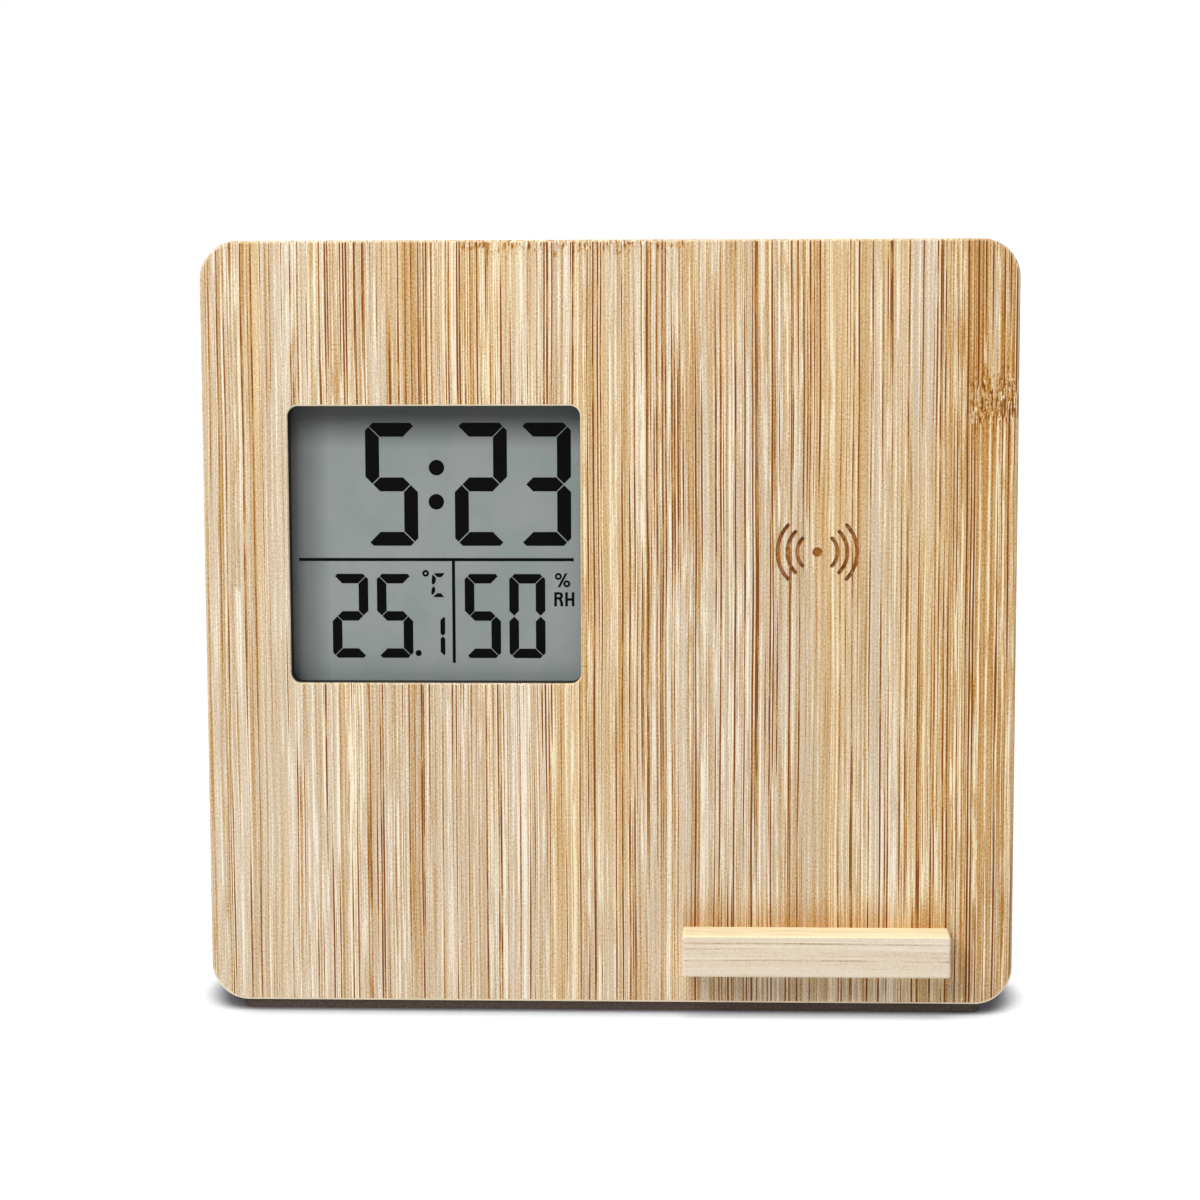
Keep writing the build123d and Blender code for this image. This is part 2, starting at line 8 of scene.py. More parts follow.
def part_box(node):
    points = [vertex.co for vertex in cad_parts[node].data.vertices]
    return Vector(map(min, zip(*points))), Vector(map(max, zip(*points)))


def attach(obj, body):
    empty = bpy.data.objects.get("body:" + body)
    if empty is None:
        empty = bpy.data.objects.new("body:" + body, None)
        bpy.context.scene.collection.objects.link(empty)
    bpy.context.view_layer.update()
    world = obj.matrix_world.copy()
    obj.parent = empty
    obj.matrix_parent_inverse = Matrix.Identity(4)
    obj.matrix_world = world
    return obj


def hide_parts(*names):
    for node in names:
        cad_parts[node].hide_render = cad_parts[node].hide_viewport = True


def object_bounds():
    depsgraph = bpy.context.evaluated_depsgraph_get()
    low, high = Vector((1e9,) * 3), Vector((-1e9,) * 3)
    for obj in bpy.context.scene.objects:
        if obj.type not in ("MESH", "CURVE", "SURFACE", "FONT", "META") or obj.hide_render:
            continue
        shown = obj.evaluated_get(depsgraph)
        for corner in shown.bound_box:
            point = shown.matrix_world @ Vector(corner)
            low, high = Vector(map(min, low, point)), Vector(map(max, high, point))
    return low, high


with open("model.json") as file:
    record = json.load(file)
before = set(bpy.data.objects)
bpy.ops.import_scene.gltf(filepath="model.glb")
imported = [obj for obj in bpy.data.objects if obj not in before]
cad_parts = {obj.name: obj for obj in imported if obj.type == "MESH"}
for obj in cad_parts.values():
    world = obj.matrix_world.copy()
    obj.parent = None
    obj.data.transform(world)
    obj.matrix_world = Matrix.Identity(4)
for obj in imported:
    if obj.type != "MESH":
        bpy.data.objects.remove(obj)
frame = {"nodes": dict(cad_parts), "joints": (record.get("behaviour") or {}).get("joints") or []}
nodes = frame["nodes"]
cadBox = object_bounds()
joints = {joint["name"]: joint for joint in frame["joints"]}
scene = bpy.context.scene
scene.view_settings.view_transform = "Standard"
print("frame loaded:", len(nodes), "nodes")

# the panel leans back; its lower front edge is the zero of every place measured on it
panel = {"stripSetback": 0.001}
backAxis = Vector(joints["cap_turn"]["axis"])
lean = math.atan2(-backAxis.z, backAxis.y)
stripLow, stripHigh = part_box("foot_strip")
panelFoot = Vector((0, stripLow.y - panel["stripSetback"], stripHigh.z))
toPanel = Matrix.Translation(panelFoot) @ Matrix.Rotation(-lean, 4, "X")
mm = 0.001


def panelBox(node):
    back = toPanel.inverted()
    spots = [back @ v.co for v in nodes[node].data.vertices]
    low = Vector([min(s[i] for s in spots) for i in range(3)])
    high = Vector([max(s[i] for s in spots) for i in range(3)])
    return low, high


def finishPiece(mesh, name, body, material=None, place=toPanel):
    mesh.transform(place)
    mesh.name = name
    piece = bpy.data.objects.new(name, mesh)
    scene.collection.objects.link(piece)
    if material:
        mesh.materials.clear()
        mesh.materials.append(material)
    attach(piece, body)
    return piece


# camera, at the photograph's angle
view = {"lens": 88.46, "sensor": 36, "near": 0.01, "turn": 2.414, "rise": 6.712, "roll": -0.195, "distance": 0.5811,
        "aim": (-0.0017, 0.0, 0.08108)}


def placeCamera(look):
    turn, rise, roll = (math.radians(look[key]) for key in ("turn", "rise", "roll"))
    out = Vector((math.sin(turn) * math.cos(rise), -math.cos(turn) * math.cos(rise), math.sin(rise)))
    right = Vector((math.cos(turn), math.sin(turn), 0))
    up = out.cross(right)
    across = right * math.cos(roll) + up * math.sin(roll)
    over = up * math.cos(roll) - right * math.sin(roll)
    spot = Vector(look["aim"]) + out * look["distance"]
    pose = Matrix((across, over, out)).transposed().to_4x4()
    pose.translation = spot
    lensData = bpy.data.cameras.new("photoCamera")
    lensData.lens = look["lens"]
    lensData.sensor_width = look["sensor"]
    lensData.clip_start = look["near"]
    camera = bpy.data.objects.new("photoCamera", lensData)
    scene.collection.objects.link(camera)
    camera.matrix_world = toPanel @ pose
    scene.camera = camera


placeCamera(view)
print("camera placed")


# shader helpers
def addNode(tree, kind, inputs=None, **settings):
    node = tree.nodes.new(kind)
    for key, value in settings.items():
        setattr(node, key, value)
    for key, value in (inputs or {}).items():
        if isinstance(value, bpy.types.NodeSocket):
            tree.links.new(value, node.inputs[key])
        else:
            node.inputs[key].default_value = value
    return node


def newFinish(name, **sockets):
    material = bpy.data.materials.new(name)
    material.use_nodes = True
    tree = material.node_tree
    tree.nodes.clear()
    shader = addNode(tree, "ShaderNodeBsdfPrincipled", sockets)
    out = addNode(tree, "ShaderNodeOutputMaterial")
    tree.links.new(shader.outputs["BSDF"], out.inputs["Surface"])
    return material, tree, shader


def placeCoords(tree, turn, foot):
    coords = addNode(tree, "ShaderNodeTexCoord")
    return addNode(tree, "ShaderNodeMapping", {"Vector": coords.outputs["Object"], "Location": foot,
                                               "Rotation": turn, "Scale": (mm, mm, mm)},
                   vector_type="TEXTURE").outputs["Vector"]


def stretched(tree, spot, size):
    scale = tuple(1 / s for s in size)
    return addNode(tree, "ShaderNodeVectorMath", {0: spot, 1: scale}, operation="MULTIPLY").outputs[0]


def noise(tree, spot, size, detail=2.0, roughness=0.5, channel="Fac"):
    return addNode(tree, "ShaderNodeTexNoise", {"Vector": stretched(tree, spot, size), "Scale": 1.0,
                                                "Detail": detail, "Roughness": roughness}).outputs[channel]


def span(tree, value, low, high, toLow=0.0, toHigh=1.0):
    return addNode(tree, "ShaderNodeMapRange", {"Value": value, "From Min": low, "From Max": high,
                                                "To Min": toLow, "To Max": toHigh}).outputs["Result"]


def work(tree, operation, a, b=0.0):
    return addNode(tree, "ShaderNodeMath", {0: a, 1: b}, operation=operation).outputs[0]


def blendColour(tree, share, under, over, mode="MIX"):
    node = addNode(tree, "ShaderNodeMix", data_type="RGBA", blend_type=mode)
    for socket, value in ((node.inputs[0], share), (node.inputs[6], under), (node.inputs[7], over)):
        if isinstance(value, bpy.types.NodeSocket):
            tree.links.new(value, socket)
        else:
            socket.default_value = value if isinstance(value, float) else (*value, 1.0)
    return node.outputs[2]


def bumped(tree, shader, height, strength, distance):
    bump = addNode(tree, "ShaderNodeBump", {"Height": height, "Strength": strength, "Distance": distance})
    tree.links.new(bump.outputs["Normal"], shader.inputs["Normal"])


def srgb(red, green, blue):
    return tuple(v / 255 / 12.92 if v <= 10.3 else ((v / 255 + 0.055) / 1.055) ** 2.4 for v in (red, green, blue))


def nodeMesh(seedMesh, tree, values):
    source = bpy.data.objects.new(tree.name, seedMesh)
    scene.collection.objects.link(source)
    maker = source.modifiers.new(tree.name, "NODES")
    maker.node_group = tree
    sockets = {item.name: item.identifier for item in tree.interface.items_tree if item.in_out == "INPUT"}
    for name, value in values.items():
        maker[sockets[name]] = value
    result = bpy.data.meshes.new_from_object(source.evaluated_get(bpy.context.evaluated_depsgraph_get()))
    source.modifiers.clear()
    bpy.data.objects.remove(source)
    return result


# bamboo: strips glued side by side, each with fibres along its Z; sizes in millimetres
bamboo = {
    "tones": [(0.10, srgb(134, 75, 6)), (0.30, srgb(187, 134, 57)), (0.41, srgb(206, 168, 112)),
              (0.49, srgb(213, 190, 159)), (0.62, srgb(230, 211, 185)), (0.78, srgb(255, 245, 224))],
    "ochreTones": [(0.10, srgb(131, 69, 2)), (0.30, srgb(183, 122, 38)), (0.41, srgb(204, 154, 88)),
                   (0.49, srgb(215, 180, 127)), (0.62, srgb(233, 204, 160)), (0.78, srgb(255, 241, 206))],
    "lamella": 20.8, "lamellaStart": -68.0, "lamellaJump": (13.0, 47.0), "lamellaShare": 0.06,
    "wander": 0.42, "wanderSize": (14, 14, 55),
    "strip": (1.5, 1.5, 420), "stripShare": 0.16,
    "bundle": (0.56, 0.56, 420), "bundleShare": 0.77, "bundleLoose": 0.85, "bundleSpan": (0.1, 0.9, 0.35, 1.0),
    "profile": [(0.0, 0.0), (0.26, 0.03), (0.35, 0.30), (0.40, 0.66), (0.48, 0.80), (0.58, 0.60), (0.72, 0.5)],
    "dash": (0.4, 0.4, 1.6), "dashSpan": (0.3, 0.5, 0.7, 1.0),
    "fade": (0.6, 0.6, 10), "fadeSpan": (0.34, 0.57, 0.22, 1.12),
    "patch": (20, 20, 110), "patchSpan": (0.38, 0.58, 0.55, 1.22), "patchShift": (0, 0, 0),
    "thread": (0.32, 0.32, 46), "threadShare": 0.44,
    "speckle": (0.30, 0.30, 0.46), "speckleRough": 0.6, "speckleShare": 0.50,
    "zone": (14, 14, 150), "zoneSpan": (0.44, 0.64), "zoneShare": 0.16, "zoneDrift": 0.0006,
    "roughness": 0.55, "sheen": 0.22, "bump": 0.10, "bumpDepth": 0.0002,
    "caneJoints": [], "jointEdge": 3.0, "lump": (1.6, 1.6, 1.6), "lumpReach": 6.0,
    "fleck": (0.5, 0.5, 1.7), "fleckSpan": (0.5, 0.66, 0.0, 0.42),
    "calm": None, "deep": None, "ripe": None, "mark": None,
    "opening": None, "corner": None, "topGrainAndLight": None, "edge": None,    # only some pieces have these
}


def toneRamp(tree, value, tones):
    node = addNode(tree, "ShaderNodeValToRGB", {"Fac": value})
    stops = node.color_ramp.elements
    while len(stops) < len(tones):
        stops.new(0.5)
    for stop, (place, colour) in zip(stops, tones):
        stop.position = place
        stop.color = (*colour, 1)
    return node.outputs["Color"]


def shifted(tree, spot, amount):
    return addNode(tree, "ShaderNodeVectorMath", {0: spot, 1: amount}, operation="ADD").outputs[0]


def product(tree, first, *others):
    for value in others:
        first = work(tree, "MULTIPLY", first, value)
    return first


def leanedMore(tree, value, share, level):
    return work(tree, "ADD", level, product(tree, work(tree, "SUBTRACT", value, 0.5), share))


def within(tree, value, low, high, soft):
    return product(tree, span(tree, value, low, low + soft), span(tree, value, high, high - soft))


def apart(tree, value, middle):
    return work(tree, "ABSOLUTE", work(tree, "SUBTRACT", value, middle))


def cells(tree, spot, size, loose=1.0):
    node = addNode(tree, "ShaderNodeTexVoronoi", {"Vector": stretched(tree, spot, size), "Scale": 1.0,
                                                  "Randomness": loose})
    tones = addNode(tree, "ShaderNodeSeparateColor", {0: node.outputs["Color"]}).outputs
    return node.outputs["Distance"], tones


def caneGrain(tree, look, spot, across, lamella):
    swing = 2 * look["wander"]
    drift = noise(tree, spot, look["wanderSize"], 1.0, channel="Color")
    drift = addNode(tree, "ShaderNodeVectorMath", {0: drift, 1: (0.5, 0.5, 0.5)}, operation="SUBTRACT").outputs[0]
    drift = addNode(tree, "ShaderNodeVectorMath", {0: drift, 1: (swing, swing, 0)}, operation="MULTIPLY").outputs[0]
    jumpY, jumpZ = look["lamellaJump"]
    along = product(tree, lamella, jumpZ)
    knotted = 0.0
    for knot in look["caneJoints"]:    # fibres are short and dark where the cane had a joint
        height, tall = knot["height"], knot["tall"]
        inside = within(tree, across["X"], *knot["across"], look["jointEdge"])
        lump = work(tree, "SUBTRACT", noise(tree, spot, look["lump"], 1.0), 0.5)
        rise = work(tree, "ADD", across["Z"], product(tree, lump, look["lumpReach"]))
        pulled = span(tree, rise, height - tall / 2, height + tall / 2, 0.0, knot["pull"])
        along = work(tree, "ADD", along, product(tree, pulled, inside))
        near = span(tree, apart(tree, rise, height), tall, tall / 3)
        knotted = work(tree, "ADD", knotted, product(tree, inside, near))
    jump = addNode(tree, "ShaderNodeCombineXYZ", {"Y": product(tree, lamella, jumpY), "Z": along}).outputs[0]
    return shifted(tree, shifted(tree, spot, drift), jump), knotted


def bundleRelief(tree, look, grain, across, deep):
    away, ownTone = cells(tree, grain, look["bundle"], look["bundleLoose"])
    shape = toneRamp(tree, away, [(place, (v, v, v)) for place, v in look["profile"]])
    shape = addNode(tree, "ShaderNodeSeparateColor", {0: shape}).outputs["Red"]
    patchSpot = shifted(tree, grain, look["patchShift"])
    strong = product(tree, span(tree, ownTone["Red"], *look["bundleSpan"]),
                     span(tree, noise(tree, grain, look["dash"], 1.0), *look["dashSpan"]),
                     span(tree, noise(tree, grain, look["fade"], 1.0), *look["fadeSpan"]),
                     span(tree, noise(tree, patchSpot, look["patch"], 1.0), *look["patchSpan"]))
    if look["calm"]:    # the outer strip has fainter fibres
        calm = span(tree, across["X"], *look["calm"]["across"], look["calm"]["strength"], 1.0)
        strong = product(tree, strong, calm)
    if look["deep"]:    # one strip is cut nearer the cane's outside, with stronger fibres
        strong = product(tree, strong, work(tree, "ADD", 1.0, product(tree, deep, look["deep"]["stronger"])))
    return product(tree, work(tree, "SUBTRACT", shape, 0.5), strong)


def woodTone(tree, look, spot, across):
    fromStart = work(tree, "SUBTRACT", across["X"], look["lamellaStart"])
    lamella = work(tree, "FLOOR", work(tree, "DIVIDE", fromStart, look["lamella"]))
    ownTone = addNode(tree, "ShaderNodeTexWhiteNoise", {"W": lamella}, noise_dimensions="1D").outputs["Value"]
    grain, knotted = caneGrain(tree, look, spot, across, lamella)
    stripTone = cells(tree, grain, look["strip"])[1]
    deep = span(tree, across["X"], *look["deep"]["across"]) if look["deep"] else None
    relief = bundleRelief(tree, look, grain, across, deep)
    level = leanedMore(tree, stripTone["Red"], look["stripShare"], 0.5)
    level = work(tree, "ADD", level, product(tree, relief, 2 * look["bundleShare"]))
    level = leanedMore(tree, noise(tree, grain, look["thread"], 1.0), look["threadShare"], level)
    level = leanedMore(tree, ownTone, look["lamellaShare"], level)
    speckle = noise(tree, spot, look["speckle"], 1.0, look["speckleRough"])
    level = leanedMore(tree, speckle, look["speckleShare"], level)
    zone = leanedMore(tree, ownTone, look["zoneShare"], noise(tree, grain, look["zone"], 1.0))
    zone = work(tree, "ADD", zone, product(tree, across["X"], look["zoneDrift"]))
    zone = leanedMore(tree, stripTone["Green"], look["zoneShare"], zone)
    if look["deep"]:
        level = work(tree, "SUBTRACT", level, product(tree, deep, look["deep"]["darker"]))
        zone = work(tree, "ADD", zone, product(tree, deep, look["deep"]["riper"]))
    if look["caneJoints"]:
        fleck = span(tree, noise(tree, spot, look["fleck"], 1.0), *look["fleckSpan"])
        level = work(tree, "SUBTRACT", level, product(tree, knotted, fleck))
    if look["calm"]:
        paler = span(tree, across["X"], *look["calm"]["across"], look["calm"]["paler"], 0.0)
        zone = work(tree, "SUBTRACT", zone, paler)
    if look["ripe"]:    # the cane is more golden towards its top
        above = work(tree, "SUBTRACT", across["Z"], look["ripe"]["evenAt"])
        zone = work(tree, "ADD", zone, product(tree, above, look["ripe"]["perStep"]))
    pale = toneRamp(tree, level, look["tones"])
    ochre = toneRamp(tree, level, look["ochreTones"])
    return level, blendColour(tree, span(tree, zone, *look["zoneSpan"]), pale, ochre)


def burntMark(tree, mark, spot, across, colour):
    away = addNode(tree, "ShaderNodeVectorMath", {0: spot, 1: mark["centre"]}, operation="DISTANCE").outputs["Value"]
    burnt = product(tree, span(tree, across["Y"], *mark["depth"]), span(tree, away, *mark["reach"]))
    patchy = noise(tree, spot, mark["patch"], 2.0)
    slope = work(tree, "DIVIDE", apart(tree, across["Z"], mark["centre"][2]), away)
    # the arcs are burnt deeper at their ends
    tips = product(tree, span(tree, slope, *mark["tips"]), span(tree, away, *mark["dot"]))
    deep = work(tree, "MINIMUM", work(tree, "ADD", tips, span(tree, patchy, *mark["deepSpan"])), 1.0)
    tone = blendColour(tree, deep, mark["tone"], mark["deepTone"])
    return blendColour(tree, product(tree, burnt, span(tree, patchy, *mark["coverSpan"])), colour, tone)


def sealedWall(tree, opening, across, colour):
    (middleX, middleZ), (wide, tall) = opening["middle"], opening["size"]
    wall = product(tree, work(tree, "LESS_THAN", apart(tree, across["X"], middleX), wide / 2 + opening["margin"]),
                   work(tree, "LESS_THAN", apart(tree, across["Z"], middleZ), tall / 2 + opening["margin"]),
                   span(tree, across["Y"], *opening["behind"]))
    return blendColour(tree, wall, colour, opening["tone"])


# painted shade: darkens and warms the wood in a band just over the ledge
def paintedLedgeShade(tree, corner, across, colour):
    (fromX, toX), (low, high), soft = corner["across"], corner["height"], corner["soft"]
    inside = within(tree, across["X"], fromX - soft, toX + soft, 2 * soft)
    above = work(tree, "GREATER_THAN", across["Z"], low - corner["below"])
    level = product(tree, above, span(tree, across["Z"], high, low))
    return blendColour(tree, product(tree, inside, level), colour, corner["tint"], "MULTIPLY")


def bambooFinish(name, look, turn, foot):
    material, tree, shader = newFinish(name, **{"Roughness": look["roughness"], "Specular IOR Level": look["sheen"]})
    spot = placeCoords(tree, turn, foot)
    across = addNode(tree, "ShaderNodeSeparateXYZ", {0: spot}).outputs
    level, colour = woodTone(tree, look, spot, across)
    if look["mark"]:
        colour = burntMark(tree, look["mark"], spot, across, colour)
    if look["opening"]:    # the window's wall is sealed dark behind its rounded edge
        colour = sealedWall(tree, look["opening"], across, colour)
    if look["corner"]:    # painted shade: the wood just over the ledge is darkened and warmed, as if shaded there and lit by light bounced off the ledge
        colour = paintedLedgeShade(tree, look["corner"], across, colour)
    facing = addNode(tree, "ShaderNodeMapping", {"Vector": addNode(tree, "ShaderNodeTexCoord").outputs["Normal"],
                                                 "Rotation": (lean, 0, 0)}, vector_type="VECTOR").outputs["Vector"]
    facing = addNode(tree, "ShaderNodeSeparateXYZ", {0: facing}).outputs
    if look["topGrainAndLight"]:    # the face that looks up shows the cane's yellower side grain, and is painted lighter, as if lit from above
        upward = span(tree, facing["Z"], *look["topGrainAndLight"]["facing"])
        colour = blendColour(tree, upward, colour, toneRamp(tree, level, look["topGrainAndLight"]["tones"]))
    if look["edge"]:    # painted highlight: the rounded front edges are paler, most of all the lower one, as if catching light
        edge = look["edge"]
        outward = work(tree, "MULTIPLY", facing["Y"], -1.0)
        rounded = product(tree, span(tree, outward, *edge["side"]), span(tree, outward, *edge["flat"]))
        paler = span(tree, facing["Z"], *edge["low"], edge["share"], edge["lowShare"])
        colour = blendColour(tree, product(tree, rounded, paler), colour, edge["tone"])
    tree.links.new(colour, shader.inputs["Base Color"])
    bumped(tree, shader, level, look["bump"], look["bumpDepth"])
    return material


def coat(material, *names):
    for name in names:
        for place in nodes[name].material_slots:
            place.material = material


panelTurn = (-lean, 0, 0)
ringLow, ringHigh = panelBox("charge_coil")
markCentre = (ringLow + ringHigh) / 2 / mm
charge = {"centre": (markCentre.x, 0.0, markCentre.z), "tone": srgb(172, 102, 32), "deepTone": srgb(112, 60, 8),
          "depth": (0.03, 0.2), "reach": (9.8, 9.4), "patch": (0.7, 0.7, 0.7), "tips": (0.22, 0.56, 0.0, 0.62),
          "dot": (1.6, 3.0), "deepSpan": (0.42, 0.70, 0.0, 0.4), "coverSpan": (0.3, 0.6, 0.76, 1.0)}
cellLow, cellHigh = panelBox("lcd_panel")
glassLow, glassHigh = cellLow / mm, cellHigh / mm
glass = {"border": 3.2}
window = {"middle": ((glassLow.x + glassHigh.x) / 2, (glassLow.z + glassHigh.z) / 2),
          "size": (glassHigh.x - glassLow.x - 2 * glass["border"], glassHigh.z - glassLow.z - 2 * glass["border"]),
          "margin": 0.3, "behind": (0.4, 0.65), "tone": srgb(30, 27, 24)}
shelfLow, shelfHigh = (v / mm for v in panelBox("phone_ledge"))
front = dict(bamboo, patchShift=(0, 259, 427), mark=charge, opening=window,
             caneJoints=[{"across": (69.5, 90.0), "height": 120.5, "tall": 8.0, "pull": 560.0},
                         {"across": (-29.5, 16.0), "height": 152.0, "tall": 3.6, "pull": 260.0}],
             calm={"across": (-68.0, -58.0), "strength": 0.7, "paler": 0.10},
             deep={"across": (64.0, 70.0), "stronger": 0.5, "darker": 0.14, "riper": 0.12},
             ripe={"evenAt": 85.0, "perStep": 0.0012},
             # corner: painted shade, warm, in a band just over the ledge
             corner={"across": (shelfLow.x, shelfHigh.x), "height": (shelfHigh.z, shelfHigh.z + 7.0), "soft": 0.4,
                     "below": 1.0, "tint": srgb(236, 212, 182)},
             # painted highlight along the rounded front edges, brightest on the lower edge
             edge={"share": 0.22, "lowShare": 1.0, "tone": srgb(255, 240, 208), "side": (0.08, 0.3),
                   "flat": (0.996, 0.96), "low": (-0.08, -0.35)})
coat(bambooFinish("bambooFront", front, panelTurn, panelFoot), "bamboo_case")
ledgeLow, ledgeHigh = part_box("phone_ledge")
ledgeTurn = Matrix.Rotation(-lean, 3, "X") @ Matrix.Rotation(math.radians(90), 3, "Y")
quiet = dict(bamboo, bundleShare=0.27, threadShare=0.24, stripShare=0.12, speckleShare=0.3, lamellaStart=-60.0,
             lamella=120.0, wander=0.3, zoneDrift=0.0,
             tones=[(0.2, srgb(180, 146, 110)), (0.5, srgb(238, 224, 208)), (0.8, srgb(255, 248, 236))],
             ochreTones=[(0.2, srgb(180, 140, 96)), (0.5, srgb(238, 220, 196)), (0.8, srgb(255, 244, 224))],
             # tones for the face that looks up: yellower grain, partly painted light from above
             topGrainAndLight={"facing": (0.3, 0.7), "tones": [(0.24, srgb(206, 172, 118)), (0.46, srgb(249, 238, 198)),
                                                    (0.78, srgb(255, 248, 214))]})
ledgeWood = bambooFinish("bambooLedge", quiet, ledgeTurn.to_euler(), (ledgeLow + ledgeHigh) / 2)
coat(ledgeWood, "phone_ledge", "ledge_dowels")
legAngle = {"splay": math.radians(8)}
legFoot = Vector(joints["leg_fold"]["pos_m"])
coat(bambooFinish("bambooLeg", bamboo, (legAngle["splay"], 0, 0), legFoot), "support_leg")
print("bamboo laid")


# display: grey-green cell with dark segments, drawn on the cell's face from the window's middle, in millimetres
display = {
    "cell": srgb(150, 155, 154), "cellDeep": srgb(141, 150, 147), "cloud": (9, 9, 9), "cloudSpan": (0.35, 0.65),
    "roughness": 0.32, "sheen": 0.35, "film": (0.12, 0.12, 0.12), "filmBump": 0.03, "filmDepth": 0.00005,
    "ink": srgb(6, 6, 7), "inkLift": 1.6, "inkCloud": (2.5, 2.5, 2.5), "inkRoughness": 0.6, "inkSheen": 0.04,
    "plate": 0.02, "weld": 1e-7, "rise": 0.14, "dotSides": 40, "ringSides": 28,
    "digit": {"width": 10.4, "height": 24.43, "bar": 2.76, "corner": 1.5, "gap": 0.20},
    "segments": {"0": "abcdef", "1": "bc", "2": "abged", "3": "abgcd", "5": "afgcd"},
    "rows": [("5", (-8.845, 11.565), (1.0, 1.0)), ("2", (8.895, 11.565), (1.0, 1.0)),
             ("3", (21.56, 11.565), (1.0, 1.0)),
             ("2", (-17.38, -14.70), (0.69, 0.69)), ("5", (-8.46, -14.70), (0.69, 0.69)),
             ("5", (9.08, -14.70), (0.69, 0.69)), ("0", (17.95, -14.70), (0.69, 0.69)),
             ("1", (-0.25, -18.72), (0.34, 0.34))],
    "dots": [((0.1, 14.89), 1.54), ((0.0, 8.11), 1.54), ((-3.83, -22.16), 0.62)],
    "rules": [((-27.52, -3.72), (27.24, -3.10)), ((2.98, -24.11), (3.60, -3.45))],
    "rings": [((-2.27, -6.16), 0.68, 0.44), ((24.15, -6.76), 0.70, 0.42), ((25.82, -8.22), 0.70, 0.42)],
    "slash": ((24.0, -8.92), (25.9, -6.12), 0.42), "slashFoot": 1.2, "slashHead": 0.2,
    "degree": [[(-0.70, -6.14), (1.50, -6.10), (1.10, -6.70), (0.75, -6.92), (0.05, -6.92), (-0.30, -6.55)],
               [(-0.98, -6.50), (-0.72, -6.50), (-0.22, -7.05), (-0.30, -7.85), (-0.62, -8.38), (-0.95, -8.38),
                (-1.10, -8.0)],
               [(-0.85, -8.80), (-0.55, -8.80), (-0.36, -9.35), (-0.45, -9.95), (-1.0, -10.5), (-1.2, -10.2),
                (-1.1, -9.3)],
               [(-0.84, -10.9), (1.36, -10.94), (0.95, -10.35), (0.6, -10.12), (0.05, -10.12), (-0.35, -10.4)]],
    "humidity": [[(23.32, -9.90), (23.84, -9.90), (23.84, -12.72), (23.32, -12.72)],
                 [(23.6, -9.90), (24.45, -9.90), (24.80, -10.0), (25.02, -10.3), (25.05, -10.62), (25.02, -10.93),
                  (24.80, -11.23), (24.45, -11.33), (23.6, -11.33), (23.6, -10.88), (24.35, -10.88), (24.5, -10.75),
                  (24.52, -10.62), (24.5, -10.48), (24.35, -10.36), (23.6, -10.36)],
                 [(24.15, -11.2), (24.72, -11.2), (25.02, -11.8), (25.12, -12.72), (24.55, -12.72), (24.5, -11.95)],
                 [(25.50, -9.90), (26.02, -9.90), (26.02, -11.08), (26.80, -11.08), (26.80, -9.90), (27.32, -9.90),
                  (27.32, -12.72), (26.80, -12.72), (26.80, -11.60), (26.02, -11.60), (26.02, -12.72),
                  (25.50, -12.72)]],
    # painted shade on the cell near the window's top and left edges
    "paintedShadeTone": srgb(34, 36, 33), "shade": {"top": (2.8, 8.6, 0.72), "left": (4.0, 7.6, 0.40)},
}


def segmentShapes(look):
    w, h, t, c = (look[key] for key in ("width", "height", "bar", "corner"))
    e = look["gap"] / 2 / math.sqrt(2)
    m = 2 * e
    top = [(c, h), (w - c, h), (w - c / 2 - e, h - c / 2 + e), (w - t - 2 * e, h - t), (t + 2 * e, h - t),
           (c / 2 + e, h - c / 2 + e)]
    right = [(w - c / 2 + e, h - c / 2 - e), (w, h - c), (w, h / 2 + t / 2 + m), (w - t / 2, h / 2 + m),
             (w - t, h / 2 + t / 2 + m), (w - t, h - t - 2 * e)]
    middle = [(t / 2 + m, h / 2), (t + m, h / 2 + t / 2), (w - t - m, h / 2 + t / 2), (w - t / 2 - m, h / 2),
              (w - t - m, h / 2 - t / 2), (t + m, h / 2 - t / 2)]
    flipX = lambda shape: [(w - x, y) for x, y in shape]
    flipY = lambda shape: [(x, h - y) for x, y in shape]
    shapes = {"a": top, "b": right, "c": flipY(right), "d": flipY(top), "e": flipX(flipY(right)), "f": flipX(right),
              "g": middle}
    return {name: [(x - w / 2, y - h / 2) for x, y in shape] for name, shape in shapes.items()}


def flatFace(maker, outline, depth=0.0):
    area = sum(a[0] * b[1] - b[0] * a[1] for a, b in zip(outline, outline[1:] + outline[:1]))
    ring = outline if area > 0 else outline[::-1]
    return maker.faces.new([maker.verts.new((x, depth, z)) for x, z in ring])


